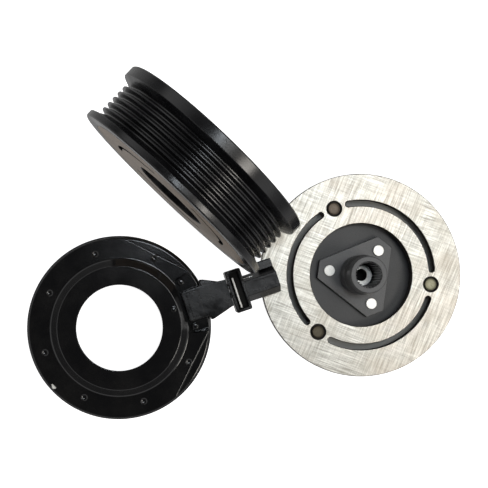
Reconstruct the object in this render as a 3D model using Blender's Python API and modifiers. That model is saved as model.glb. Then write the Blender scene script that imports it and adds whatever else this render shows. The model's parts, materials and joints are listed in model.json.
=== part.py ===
"""Electromagnetic clutch for a belt-driven compressor, laid out as its three loose pieces.

Metres, +Z up.  The field coil lies on its open side with the mounting plate up, the pulley
stands upright on its two rims, and the hub lies on its front plate with the armature's
friction face up.  The origin is on the surface they lie on, at the middle of their footprint.
"""
import math

import bmesh
import bpy
from mathutils import Vector

MM = 0.001
GAP = 0.3 * MM              # left between pieces that touch on the real clutch
SHARP_ANGLE = math.radians(32)
STEPS = 40                  # facets round a large turned piece
FINE_STEPS = 10             # facets round a rivet or a drilled hole
BEARING_STEPS = 28          # facets round a bearing ring

# Where the three loose pieces lie, before the footprint is centred on the origin.
COIL_PLACE = Vector((-67.6, -44.7, 0.0)) * MM
HUB_PLACE = Vector((62.7, -17.0, 0.0)) * MM
PULLEY_PLACE = Vector((-30.7, 34.5, 0.0)) * MM
ARM_ANGLE = math.radians(18.4)          # the coil's connector arm, from +X
PULLEY_ANGLE = math.radians(226.8)      # the pulley's axis, towards its friction face

# Field coil.  Heights are above the surface it lies on.
SHELL_OUTER = 48.3 * MM
SHELL_INNER = 28.3 * MM
SHELL_WALL = 2.0 * MM
SHELL_HEIGHT = 21.4 * MM
PLATE_BOTTOM = SHELL_HEIGHT + GAP
PLATE_THICKNESS = 1.7 * MM
PLATE_OUTER = 47.4 * MM
PLATE_HOLE = 22.4 * MM
RAISED_RING_TOP = 26.6 * MM
RAISED_RING_OUTER = 32.3 * MM
RAISED_RING_FOOT = 36.0 * MM
CHORD_FROM_AXIS = 44.1 * MM
CHORD_ANGLE = math.radians(45)
NOTCH_FROM_AXIS = 34.4 * MM
NOTCH_HALF_WIDTH = 14.8 * MM
RESIN_RECESS = 0.8 * MM
RESIN_THICKNESS = 2.1 * MM
BOBBIN_WALL = 1.2 * MM
LEAD_FROM_AXIS = 40.0 * MM
LEAD_RADIUS = 0.7 * MM
BLADE_HEIGHT = 22.8 * MM                # middle of the connector's blades
BLADE_WIDTH = 2.8 * MM
BLADE_THICKNESS = 0.8 * MM
BLADE_SPACING = 5.0 * MM
ARM_START = 49.5 * MM                   # distances along the arm, from the coil's axis
ARM_END = 60.9 * MM
COLLAR_END = 69.4 * MM
LEDGE_START = 79.0 * MM
HOUSING_END = 87.2 * MM

# Pulley.  Heights run along its axis, from the middle of the rim towards the friction face.
PULLEY_RADIUS = 57.5 * MM
PULLEY_WIDTH = 33.5 * MM
RIB_PITCH = 3.56 * MM                   # standard PK belt section
RIB_COUNT = 6
RIB_TIP_DROP = 3.5 * MM                 # ridge tips below the flanges
GROOVE_DEPTH = 2.7 * MM
FRONT_LAND = 3.4 * MM
FLANGE_SLOPE = 1.4 * MM                 # along the axis, from a flange's edge to its foot
FLANGE_CHAMFER = 0.6 * MM
DISC_THICKNESS = 6.0 * MM
COIL_CAVITY_OUTER = 48.8 * MM
COIL_CAVITY_INNER = 27.8 * MM
BEARING_OUTER = 23.5 * MM
BEARING_BORE = 15.0 * MM
BEARING_WIDTH = 22.0 * MM
BEARING_FRONT = 12.0 * MM
BEARING_RING_WALL = 2.5 * MM
LIP_RADIUS = 20.5 * MM
BALL_RADIUS = 2.6 * MM
BALLS_PER_ROW = 9
ROW_SPACING = 8.0 * MM
BALL_CLEARANCE = 0.05 * MM
POLE_SLOT_WIDTH = 2.6 * MM
POLE_SLOT_RADIUS = 34.5 * MM
POLE_SLOT_HALF_ANGLE = 38.0

# Hub and armature.  Heights are above the surface they lie on.
ARMATURE_RADIUS = 55.0 * MM
ARMATURE_OPENING = 28.0 * MM
ARMATURE_TOP = 13.5 * MM
ARMATURE_THICKNESS = 5.0 * MM
ARC_SLOT_RADIUS = 39.1 * MM
ARC_SLOT_WIDTH = 3.2 * MM
ARC_SLOT_HALF_ANGLE = 48.0
FIRST_ARC_SLOT = 52.4                   # degrees from +X; the rest follow every 120
FIRST_ARMATURE_RIVET = 112.4
ARMATURE_RIVET_RADIUS = 38.8 * MM
RIVET_POCKET = 4.2 * MM
RIVET_POCKET_DEPTH = 2.5 * MM
FRONT_PLATE_RADIUS = 46.0 * MM
FRONT_PLATE_BOTTOM = 2.4 * MM
FRONT_PLATE_TOP = 4.6 * MM
FRONT_PLATE_HOLE = 8.0 * MM
FLANGE_TOP = 8.3 * MM
FLANGE_CORNER = 23.5 * MM
FLANGE_CORNER_HALF_ANGLE = 12.0
FIRST_FLANGE_CORNER = 52.0
HUB_RIVET_RADIUS = 16.9 * MM
BOSS_BASE = 10.8 * MM
BOSS_TOP_RADIUS = 9.9 * MM
BOSS_TOP = 35.1 * MM
HUB_BORE = 7.0 * MM
BOLT_HOLE = 4.6 * MM
BORE_FLOOR = 12.0 * MM
SHIM_THICKNESS = 1.0 * MM
SHIM_HOLE = 3.6 * MM
SPRING_BOTTOM = 5.3 * MM
SPRING_THICKNESS = 0.8 * MM
SPRING_HALF_WIDTH = 3.5 * MM
SPRING_RIVET_RADIUS = 33.0 * MM
SPRING_SWEEP = 50.0                     # degrees from a spring's fixed end to its free end


# ---------------------------------------------------------------- tools

def clear_scene():
    for item in list(bpy.data.objects):
        bpy.data.objects.remove(item, do_unlink=True)


def new_collection(name):
    collection = bpy.data.collections.new(name)
    bpy.context.scene.collection.children.link(collection)
    return collection


def finish_material(item, colour, roughness, metallic):
    """Give an object its own Principled material."""
    material = bpy.data.materials.new(item.name)
    material.use_nodes = True
    shader = material.node_tree.nodes["Principled BSDF"]
    shader.inputs["Base Color"].default_value = (*colour, 1.0)
    shader.inputs["Roughness"].default_value = roughness
    shader.inputs["Metallic"].default_value = metallic
    item.data.materials.clear()
    item.data.materials.append(material)
    return item


def add_object(name, data, parent, collection):
    item = bpy.data.objects.new(name, data)
    collection.objects.link(item)
    item.parent = parent
    if collection is CUTTERS:
        item.hide_render = True
        item.display_type = "WIRE"
    return item


def shade_round(mesh):
    mesh.shade_smooth()
    mesh.set_sharp_from_angle(angle=SHARP_ANGLE)


def evaluated_mesh(item):
    bpy.context.view_layer.update()
    graph = bpy.context.evaluated_depsgraph_get()
    return bpy.data.meshes.new_from_object(item.evaluated_get(graph))


def turned(name, profile, parent, collection, steps=STEPS, closed=True):
    """Turn (radius, height) points about local Z; they run clockwise, down the outer side."""
    mesh = bpy.data.meshes.new(name)
    points = [(radius, 0.0, height) for radius, height in profile]
    edges = [(i, i + 1) for i in range(len(points) - 1)]
    if closed:
        edges.append((len(points) - 1, 0))
    mesh.from_pydata(points, edges, [])
    item = add_object(name, mesh, parent, collection)
    screw = item.modifiers.new("turn", "SCREW")
    screw.axis = "Z"
    screw.steps = steps
    screw.render_steps = steps
    screw.use_merge_vertices = True
    screw.merge_threshold = 0.00001
    turned_mesh = evaluated_mesh(item)
    item.modifiers.clear()
    item.data = turned_mesh
    shade_round(turned_mesh)
    return item


def prism(name, outline, low, high, parent, collection):
    """A flat outline in the XY plane, made solid from height low to height high."""
    curve = bpy.data.curves.new(name, "CURVE")
    curve.dimensions = "2D"
    curve.fill_mode = "BOTH"
    curve.extrude = (high - low) / 2
    spline = curve.splines.new("POLY")
    spline.points.add(len(outline) - 1)
    for point, (x, y) in zip(spline.points, outline):
        point.co = (x, y, 0.0, 1.0)
    spline.use_cyclic_u = True
    guide = add_object(name + "_outline", curve, None, CUTTERS)
    mesh = evaluated_mesh(guide)
    bpy.data.objects.remove(guide, do_unlink=True)
    shape = bmesh.new()
    shape.from_mesh(mesh)
    bmesh.ops.remove_doubles(shape, verts=shape.verts, dist=0.000001)
    bmesh.ops.recalc_face_normals(shape, faces=shape.faces)
    bmesh.ops.translate(shape, verts=shape.verts, vec=(0.0, 0.0, (low + high) / 2))
    shape.to_mesh(mesh)
    shape.free()
    shade_round(mesh)
    return add_object(name, mesh, parent, collection)


def box(name, low, high, parent, collection):
    mesh = bpy.data.meshes.new(name)
    shape = bmesh.new()
    bmesh.ops.create_cube(shape, size=1.0)
    low, high = Vector(low), Vector(high)
    bmesh.ops.scale(shape, verts=shape.verts, vec=high - low)
    bmesh.ops.translate(shape, verts=shape.verts, vec=(high + low) / 2)
    shape.to_mesh(mesh)
    shape.free()
    return add_object(name, mesh, parent, collection)


def drill(name, radius, low, high, centre, parent):
    """A round cutter along local Z."""
    mesh = bpy.data.meshes.new(name)
    shape = bmesh.new()
    bmesh.ops.create_cone(shape, cap_ends=True, segments=FINE_STEPS, radius1=radius,
                          radius2=radius, depth=high - low)
    middle = (centre[0], centre[1], (low + high) / 2)
    bmesh.ops.translate(shape, verts=shape.verts, vec=middle)
    shape.to_mesh(mesh)
    shape.free()
    return add_object(name, mesh, parent, CUTTERS)


def cut(item, cutter, operation="DIFFERENCE"):
    """Take the other shape away from the item, or join it on with UNION."""
    step = item.modifiers.new(cutter.name, "BOOLEAN")
    step.operation = operation
    step.solver = "EXACT"
    step.object = cutter


def thirds(first):
    return [first + 120.0 * i for i in range(3)]


def polar(radius, degrees):
    angle = math.radians(degrees)
    return radius * math.cos(angle), radius * math.sin(angle)


def arc(radius, start, end, count):
    """Points on a circle about the origin, angles in degrees."""
    return [polar(radius, start + (end - start) * i / (count - 1)) for i in range(count)]


def arc_slot_outline(radius, width, middle, half_angle):
    """A slot that follows a circle, with round ends."""
    outer, inner = radius + width / 2, radius - width / 2
    start, end = middle - half_angle, middle + half_angle
    outline = arc(outer, start, end, 11)
    centre_x, centre_y = polar(radius, end)
    for turn in (45, 90, 135):
        x, y = polar(width / 2, end + turn)
        outline.append((centre_x + x, centre_y + y))
    outline += arc(inner, end, start, 11)
    centre_x, centre_y = polar(radius, start)
    for turn in (225, 270, 315):
        x, y = polar(width / 2, start + turn)
        outline.append((centre_x + x, centre_y + y))
    return outline


def rivet(name, profile, centre, parent):
    """A turned rivet; the profile runs from the top of its head to the bottom of its foot."""
    item = turned(name, profile, parent, PARTS, steps=FINE_STEPS, closed=False)
    item.location = (centre[0], centre[1], 0.0)
    return item


# ---------------------------------------------------------------- layout

def footprint_centre():
    """Middle of the rectangle that the three loose pieces cover."""
    axis_y = math.sin(PULLEY_ANGLE)
    rim_reach = PULLEY_RADIUS * abs(math.cos(PULLEY_ANGLE))
    left = COIL_PLACE.x - SHELL_OUTER
    right = HUB_PLACE.x + ARMATURE_RADIUS
    near = COIL_PLACE.y - SHELL_OUTER
    far = PULLEY_PLACE.y + PULLEY_WIDTH / 2 * abs(axis_y) + rim_reach
    return Vector(((left + right) / 2, (near + far) / 2, 0.0))


def place(name, location, rotation):
    """An empty that a loose piece's parts hang from."""
    empty = bpy.data.objects.new(name, None)
    PARTS.objects.link(empty)
    empty.location = location - footprint_centre()
    empty.rotation_euler = rotation
    return empty


# ---------------------------------------------------------------- field coil

def coil_shell(base):
    outer, inner, wall, top = SHELL_OUTER, SHELL_INNER, SHELL_WALL, SHELL_HEIGHT
    round_off = 2.0 * MM
    profile = [(outer - round_off, top), (outer - 0.3 * round_off, top - 0.3 * round_off),
               (outer, top - round_off), (outer, 0.0), (outer - wall, 0.0),
               (outer - wall, top - wall), (inner + wall, top - wall), (inner + wall, 0.0),
               (inner, 0.0), (inner, top)]
    item = turned("coil_shell", profile, base, PARTS)
    cut(item, lead_window("shell_lead_window", base, top - 2 * wall, top + wall))
    return finish_material(item, (0.012, 0.012, 0.013), 0.28, 0.0)


def lead_window(name, base, low, high):
    """The opening that the winding's two leads come up through."""
    half = BLADE_SPACING / 2 + 2.0 * MM
    cutter = box(name, (LEAD_FROM_AXIS - 3 * MM, -half, low),
                 (LEAD_FROM_AXIS + 3 * MM, half, high), base, CUTTERS)
    cutter.rotation_euler.z = ARM_ANGLE
    return cutter


def mounting_plate(base):
    """Stamped plate: a flat flange, a step, and a raised ring that seats on the compressor."""
    low, thick = PLATE_BOTTOM, PLATE_THICKNESS
    top = RAISED_RING_TOP
    profile = [(PLATE_HOLE, top), (RAISED_RING_OUTER, top), (RAISED_RING_FOOT, low + thick),
               (PLATE_OUTER, low + thick), (PLATE_OUTER, low), (RAISED_RING_FOOT - thick, low),
               (RAISED_RING_OUTER - thick, top - thick), (PLATE_HOLE, top - thick)]
    item = turned("mounting_plate", profile, base, PARTS)
    reach = 1.5 * PLATE_OUTER
    below, above = low - 2 * MM, top + 2 * MM
    for side, name in ((-1, "right"), (1, "left")):
        chord = box("chord_cut_" + name, (CHORD_FROM_AXIS, -reach / 2, below),
                    (reach, reach / 2, above), base, CUTTERS)
        chord.rotation_euler.z = ARM_ANGLE + side * CHORD_ANGLE
        cut(item, chord)
    notch = box("terminal_notch", (NOTCH_FROM_AXIS, -NOTCH_HALF_WIDTH, below),
                (reach, NOTCH_HALF_WIDTH, above), base, CUTTERS)
    notch.rotation_euler.z = ARM_ANGLE
    cut(item, notch)
    return finish_material(item, (0.012, 0.012, 0.013), 0.3, 0.0)


def locating_pin(base):
    """Dowel in the raised ring that keeps the coil from turning on the compressor."""
    radius, top = 1.3 * MM, RAISED_RING_TOP + 1.4 * MM
    bottom = RAISED_RING_TOP + GAP
    profile = [(0.0, top), (radius - 0.4 * MM, top), (radius, top - 0.4 * MM),
               (radius, bottom), (0.0, bottom)]
    item = rivet("locating_pin", profile, polar(29.6 * MM, math.degrees(ARM_ANGLE)), base)
    return finish_material(item, (0.02, 0.02, 0.02), 0.25, 0.5)


def winding_space():
    """Radii and heights between the shell's walls: inner, outer, bottom, top."""
    inner = SHELL_INNER + SHELL_WALL + GAP
    outer = SHELL_OUTER - SHELL_WALL - GAP
    bottom = RESIN_RECESS + RESIN_THICKNESS + GAP
    top = SHELL_HEIGHT - SHELL_WALL - GAP
    return inner, outer, bottom, top


def ring(name, inner, outer, low, high, base, steps=STEPS):
    """A plain turned ring of rectangular section."""
    profile = [(outer, high), (outer, low), (inner, low), (inner, high)]
    return turned(name, profile, base, PARTS, steps)


def bobbin(base):
    inner, outer, bottom, top = winding_space()
    wall = BOBBIN_WALL
    profile = [(outer, top), (outer, top - wall), (inner + wall, top - wall),
               (inner + wall, bottom + wall), (outer, bottom + wall), (outer, bottom),
               (inner, bottom), (inner, top)]
    item = turned("bobbin", profile, base, PARTS)
    cut(item, lead_window("bobbin_lead_window", base, top - 2 * wall, top + wall))
    return finish_material(item, (0.55, 0.5, 0.38), 0.5, 0.0)


def copper_winding(base):
    inner, outer, bottom, top = winding_space()
    edge = BOBBIN_WALL + GAP
    item = ring("copper_winding", inner + edge, outer - GAP, bottom + edge, top - edge, base)
    return finish_material(item, (0.72, 0.3, 0.13), 0.35, 1.0)


def potting_resin(base):
    inner, outer, _, _ = winding_space()
    low = RESIN_RECESS
    item = ring("potting_resin", inner, outer, low, low + RESIN_THICKNESS, base)
    return finish_material(item, (0.03, 0.028, 0.025), 0.4, 0.0)


def lead_wires(base):
    """The winding's two ends, which rise into the terminal block."""
    _, _, _, top = winding_space()
    low = top - BOBBIN_WALL
    high = BLADE_HEIGHT - BLADE_THICKNESS / 2 - GAP
    for number, side in ((1, -1), (2, 1)):
        name = "winding_lead_%d" % number
        curve = bpy.data.curves.new(name, "CURVE")
        curve.dimensions = "3D"
        curve.bevel_depth = LEAD_RADIUS
        curve.bevel_resolution = 2
        curve.use_fill_caps = True
        spline = curve.splines.new("POLY")
        spline.points.add(1)
        for point, height in zip(spline.points, (low, high)):
            point.co = (LEAD_FROM_AXIS, side * BLADE_SPACING / 2, height, 1.0)
        item = add_object(name, curve, base, PARTS)
        item.rotation_euler.z = ARM_ANGLE
        finish_material(item, (0.72, 0.3, 0.13), 0.35, 1.0)


def connector_arm(base):
    """Block in the plate's notch, hollow below for the leads, and the flat tapering neck."""
    low, high = PLATE_BOTTOM, 26.2 * MM
    item = box("connector_arm", (34.8 * MM, -11.6 * MM, low), (ARM_START, 9.5 * MM, high),
               base, PARTS)
    item.rotation_euler.z = ARM_ANGLE
    end, waist = ARM_END - GAP, 58.0 * MM
    outline = [(ARM_START - MM, -11.3 * MM), (waist, -8.4 * MM), (end, -8.4 * MM),
               (end, 6.8 * MM), (waist, 6.8 * MM), (ARM_START - MM, 10.4 * MM)]
    neck = prism("arm_neck", outline, 20.2 * MM, 25.2 * MM, base, CUTTERS)
    neck.rotation_euler.z = ARM_ANGLE
    cut(item, neck, "UNION")
    half = BLADE_SPACING / 2 + 1.6 * MM
    pocket = box("lead_pocket", (LEAD_FROM_AXIS - 2 * MM, -half, low - MM),
                 (LEAD_FROM_AXIS + 2 * MM, half, BLADE_HEIGHT + 1.2 * MM), base, CUTTERS)
    pocket.rotation_euler.z = ARM_ANGLE
    cut(item, pocket)
    for cutter in blade_slots("arm", LEAD_FROM_AXIS, 65 * MM, BLADE_SPACING, base):
        cut(item, cutter)
    return finish_material(item, (0.015, 0.015, 0.016), 0.35, 0.0)


def blade_slots(name, start, end, spacing, base):
    """Cutters for the two flat passages that the blades run through."""
    room = 2 * GAP
    cutters = []
    for number, side in ((1, -1), (2, 1)):
        middle = side * spacing / 2
        cutter = box("%s_blade_slot_%d" % (name, number),
                     (start, middle - BLADE_WIDTH / 2 - room,
                      BLADE_HEIGHT - BLADE_THICKNESS / 2 - room),
                     (end, middle + BLADE_WIDTH / 2 + room,
                      BLADE_HEIGHT + BLADE_THICKNESS / 2 + room), base, CUTTERS)
        cutter.rotation_euler.z = ARM_ANGLE
        cutters.append(cutter)
    return cutters


def retaining_tabs(base):
    """Two round lugs in the notch that hold the arm's block down."""
    low, high = PLATE_BOTTOM, 24.6 * MM
    for number, across in ((1, -13.3 * MM), (2, 11.6 * MM)):
        radius = 1.3 * MM
        profile = [(0.0, high), (radius - 0.4 * MM, high), (radius, high - 0.4 * MM),
                   (radius, low), (0.0, low)]
        along = 40.5 * MM
        x = along * math.cos(ARM_ANGLE) - across * math.sin(ARM_ANGLE)
        y = along * math.sin(ARM_ANGLE) + across * math.cos(ARM_ANGLE)
        item = rivet("retaining_tab_%d" % number, profile, (x, y), base)
        finish_material(item, (0.03, 0.03, 0.03), 0.2, 0.6)


def connector_housing(base):
    """Collar with a clip slot across its top, and a plug socket with a ledge beside it."""
    wall = 1.7 * MM
    low, high = (ARM_END, -12.5 * MM, 16.0 * MM), (COLLAR_END, 10.2 * MM, 27.4 * MM)
    item = box("connector_housing", low, high, base, PARTS)
    item.rotation_euler.z = ARM_ANGLE
    cut(item, plug_shroud(base), "UNION")
    cutters = [box("clip_slot", (low[0] + wall, low[1] + wall, 24.8 * MM),
                   (high[0] - wall, high[1] - wall, 30.0 * MM), base, CUTTERS),
               box("ledge_relief", (COLLAR_END, 5.2 * MM, 14.0 * MM),
                   (LEDGE_START, 11.0 * MM, 22.0 * MM), base, CUTTERS),
               box("plug_socket", (COLLAR_END + 3 * MM, -6.6 * MM, 18.2 * MM),
                   (HOUSING_END + 3 * MM, 4.0 * MM, 24.0 * MM), base, CUTTERS)]
    for cutter in cutters:
        cutter.rotation_euler.z = ARM_ANGLE
    cutters += blade_slots("housing", 58 * MM, 75 * MM, BLADE_SPACING, base)
    for cutter in cutters:
        cut(item, cutter)
    return finish_material(item, (0.015, 0.015, 0.016), 0.3, 0.0)


def plug_shroud(base):
    """The socket's outside: flat top, sloped cheeks and a ledge on one side."""
    outline = [(14.8 * MM, 9.8 * MM), (20.5 * MM, 9.8 * MM), (20.5 * MM, 5.2 * MM),
               (27.2 * MM, 2.2 * MM), (27.2 * MM, -5.7 * MM), (20.5 * MM, -9.0 * MM),
               (14.8 * MM, -9.0 * MM)]
    section = [(across, height) for height, across in outline]
    item = prism("plug_shroud", section, COLLAR_END - MM, HOUSING_END, base, CUTTERS)
    # The outline is drawn across-by-height; stand it up so that it runs along the arm.
    item.rotation_euler = (math.radians(90), 0.0, math.radians(90) + ARM_ANGLE)
    return item


def terminal_blades(base):
    """Two straight blades, each from over its lead to the inside of the socket."""
    half = BLADE_WIDTH / 2
    low, high = BLADE_HEIGHT - BLADE_THICKNESS / 2, BLADE_HEIGHT + BLADE_THICKNESS / 2
    for number, side in ((1, -1), (2, 1)):
        middle = side * BLADE_SPACING / 2
        outline = [(38.4 * MM, middle - half), (HOUSING_END - 3.5 * MM, middle - half),
                   (HOUSING_END - 3.5 * MM, middle + half), (38.4 * MM, middle + half)]
        item = prism("terminal_blade_%d" % number, outline, low, high, base, PARTS)
        item.rotation_euler.z = ARM_ANGLE
        finish_material(item, (0.75, 0.73, 0.7), 0.3, 1.0)


def make_field_coil():
    base = place("field_coil_place", COIL_PLACE, (0.0, 0.0, 0.0))
    coil_shell(base)
    mounting_plate(base)
    locating_pin(base)
    bobbin(base)
    copper_winding(base)
    potting_resin(base)
    lead_wires(base)
    retaining_tabs(base)
    connector_arm(base)
    connector_housing(base)
    terminal_blades(base)


# ---------------------------------------------------------------- pulley

def belt_groove_profile():
    """(radius, height) points down the rim's outer side, front flange to back flange."""
    front, back = PULLEY_WIDTH / 2, -PULLEY_WIDTH / 2
    tip = PULLEY_RADIUS - RIB_TIP_DROP
    root = tip - GROOVE_DEPTH
    flat = 0.12 * RIB_PITCH
    first_foot = front - FRONT_LAND - FLANGE_SLOPE
    last_foot = first_foot - RIB_COUNT * RIB_PITCH
    points = [(PULLEY_RADIUS - FLANGE_CHAMFER, front), (PULLEY_RADIUS, front - FLANGE_CHAMFER),
              (PULLEY_RADIUS, front - FRONT_LAND), (tip, first_foot)]
    for number in range(RIB_COUNT):
        middle = first_foot - (number + 0.5) * RIB_PITCH
        points += [(root, middle + flat), (root, middle - flat)]
        if number < RIB_COUNT - 1:
            ridge = middle - RIB_PITCH / 2
            points += [(tip, ridge + flat), (tip, ridge - flat)]
    points += [(tip, last_foot), (PULLEY_RADIUS, last_foot - FLANGE_SLOPE),
               (PULLEY_RADIUS, back + FLANGE_CHAMFER), (PULLEY_RADIUS - FLANGE_CHAMFER, back)]
    return points


def pulley_rotor(base):
    """Grooved rim, friction disc and bearing seat in one forging, hollow at the back."""
    front, back = PULLEY_WIDTH / 2, -PULLEY_WIDTH / 2
    seat_back = BEARING_FRONT - BEARING_WIDTH - GAP
    floor = front - DISC_THICKNESS
    seat = BEARING_OUTER + GAP
    profile = belt_groove_profile()
    profile += [(COIL_CAVITY_OUTER, back), (COIL_CAVITY_OUTER, floor),
                (COIL_CAVITY_INNER, floor), (COIL_CAVITY_INNER, seat_back), (seat, seat_back),
                (seat, BEARING_FRONT + GAP), (LIP_RADIUS, BEARING_FRONT + GAP),
                (LIP_RADIUS, front)]
    item = turned("pulley_rotor", profile, base, PARTS)
    for number, turn in enumerate(thirds(0.0)):
        outline = arc_slot_outline(POLE_SLOT_RADIUS, POLE_SLOT_WIDTH, turn, POLE_SLOT_HALF_ANGLE)
        cut(item, prism("pole_slot_%d" % (number + 1), outline, floor - 2 * MM, front + 2 * MM,
                        base, CUTTERS))
    return finish_material(item, (0.01, 0.01, 0.011), 0.2, 0.0)


def bearing_row_height(row):
    middle = BEARING_FRONT - BEARING_WIDTH / 2
    return middle + (row - 0.5) * ROW_SPACING


def groove_radius():
    return BALL_RADIUS + BALL_CLEARANCE + GAP


def pitch_radius():
    return (BEARING_OUTER - BEARING_RING_WALL + BEARING_BORE + BEARING_RING_WALL) / 2


def race_arc(wall, side, row, count=4):
    """Groove points in a ring's wall: side +1 dips outward, -1 dips inward; top to bottom."""
    radius = groove_radius()
    centre, height = pitch_radius(), bearing_row_height(row)
    reach = math.acos(min(1.0, abs(wall - centre) / radius))
    points = []
    for i in range(count):
        angle = reach - 2 * reach * i / (count - 1)
        points.append((centre + side * radius * math.cos(angle),
                       height + radius * math.sin(angle)))
    return points


def bearing_outer_ring(base):
    high, low = BEARING_FRONT, BEARING_FRONT - BEARING_WIDTH
    wall = BEARING_OUTER - BEARING_RING_WALL
    profile = [(BEARING_OUTER, high), (BEARING_OUTER, low), (wall, low)]
    for row in (0, 1):
        profile += reversed(race_arc(wall, 1, row))
    profile.append((wall, high))
    item = turned("bearing_outer_ring", profile, base, PARTS, BEARING_STEPS)
    return finish_material(item, (0.6, 0.6, 0.6), 0.25, 1.0)


def bearing_inner_ring(base):
    high, low = BEARING_FRONT, BEARING_FRONT - BEARING_WIDTH
    wall = BEARING_BORE + BEARING_RING_WALL
    profile = [(wall, high)]
    for row in (1, 0):
        profile += race_arc(wall, -1, row)
    profile += [(wall, low), (BEARING_BORE, low), (BEARING_BORE, high)]
    item = turned("bearing_inner_ring", profile, base, PARTS, BEARING_STEPS)
    return finish_material(item, (0.6, 0.6, 0.6), 0.25, 1.0)


def bearing_balls(base):
    centre = pitch_radius()
    for row in (0, 1):
        for number in range(BALLS_PER_ROW):
            turn = 360.0 * (number + 0.5 * row) / BALLS_PER_ROW
            x, y = polar(centre, turn)
            name = "bearing_ball_%d_%d" % (row + 1, number + 1)
            mesh = bpy.data.meshes.new(name)
            shape = bmesh.new()
            bmesh.ops.create_uvsphere(shape, u_segments=8, v_segments=6, radius=BALL_RADIUS)
            shape.to_mesh(mesh)
            shape.free()
            shade_round(mesh)
            item = add_object(name, mesh, base, PARTS)
            item.location = (x, y, bearing_row_height(row))
            finish_material(item, (0.7, 0.7, 0.7), 0.08, 1.0)


def bearing_cage(base):
    """One moulded cage, with a round pocket for each ball of both rows."""
    centre, half = pitch_radius(), 0.8 * MM
    middle = BEARING_FRONT - BEARING_WIDTH / 2
    reach = ROW_SPACING / 2 + BALL_RADIUS + 1.0 * MM
    item = ring("bearing_cage", centre - half, centre + half, middle - reach, middle + reach,
                base, BEARING_STEPS)
    for row in (0, 1):
        for number in range(BALLS_PER_ROW):
            turn = 360.0 * (number + 0.5 * row) / BALLS_PER_ROW
            mesh = bpy.data.meshes.new("ball_pocket")
            shape = bmesh.new()
            bmesh.ops.create_cone(shape, cap_ends=True, segments=8, radius1=BALL_RADIUS + GAP,
                                  radius2=BALL_RADIUS + GAP, depth=6 * MM)
            shape.to_mesh(mesh)
            shape.free()
            cutter = add_object("ball_pocket_%d_%d" % (row + 1, number + 1), mesh, base,
                                CUTTERS)
            x, y = polar(centre, turn)
            cutter.location = (x, y, bearing_row_height(row))
            cutter.rotation_euler = (0.0, math.radians(90), math.radians(turn))
            cut(item, cutter)
    return finish_material(item, (0.3, 0.16, 0.08), 0.5, 0.0)


def bearing_seals(base):
    """Rubber seals, held in the outer ring, with a running gap to the inner ring."""
    inner = BEARING_BORE + BEARING_RING_WALL + GAP
    outer = BEARING_OUTER - BEARING_RING_WALL - GAP
    thick, inset = 1.0 * MM, 0.4 * MM
    back = BEARING_FRONT - BEARING_WIDTH
    for name, low in (("bearing_seal_front", BEARING_FRONT - inset - thick),
                      ("bearing_seal_back", back + inset)):
        item = ring(name, inner, outer, low, low + thick, base, BEARING_STEPS)
        finish_material(item, (0.02, 0.02, 0.02), 0.6, 0.0)


def make_pulley():
    location = PULLEY_PLACE + Vector((0.0, 0.0, PULLEY_RADIUS))
    base = place("pulley_place", location, (0.0, math.radians(90), PULLEY_ANGLE))
    pulley_rotor(base)
    bearing_outer_ring(base)
    bearing_inner_ring(base)
    bearing_balls(base)
    bearing_cage(base)
    bearing_seals(base)


# ---------------------------------------------------------------- hub and armature

def front_plate(base):
    """Stamped disc behind the armature, with a turned-down rim that it lies on."""
    rim = 2.2 * MM
    radius = FRONT_PLATE_RADIUS
    profile = [(radius - 0.8 * MM, FRONT_PLATE_TOP), (radius, FRONT_PLATE_TOP - 0.8 * MM),
               (radius, 0.0), (radius - rim, 0.0), (radius - rim, FRONT_PLATE_BOTTOM),
               (FRONT_PLATE_HOLE, FRONT_PLATE_BOTTOM), (FRONT_PLATE_HOLE, FRONT_PLATE_TOP)]
    item = turned("front_plate", profile, base, PARTS)
    low, high = FRONT_PLATE_BOTTOM - 2 * MM, FRONT_PLATE_TOP + 2 * MM
    holes = [("clearance_hole", 4.6 * MM, ARMATURE_RIVET_RADIUS, FIRST_ARMATURE_RIVET),
             ("hub_rivet_hole", 2.1 * MM, HUB_RIVET_RADIUS, FIRST_FLANGE_CORNER),
             ("spring_rivet_hole", 2.0 * MM, SPRING_RIVET_RADIUS,
              FIRST_ARMATURE_RIVET - SPRING_SWEEP)]
    for name, hole, distance, first in holes:
        for number, turn in enumerate(thirds(first)):
            cut(item, drill("plate_%s_%d" % (name, number + 1), hole, low, high,
                            polar(distance, turn), base))
    return finish_material(item, (0.02, 0.02, 0.021), 0.4, 0.0)


def flange_outline():
    """Triangle with clipped corners."""
    outline = []
    for turn in thirds(FIRST_FLANGE_CORNER):
        outline.append(polar(FLANGE_CORNER, turn - FLANGE_CORNER_HALF_ANGLE))
        outline.append(polar(FLANGE_CORNER, turn + FLANGE_CORNER_HALF_ANGLE))
    return outline


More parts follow.
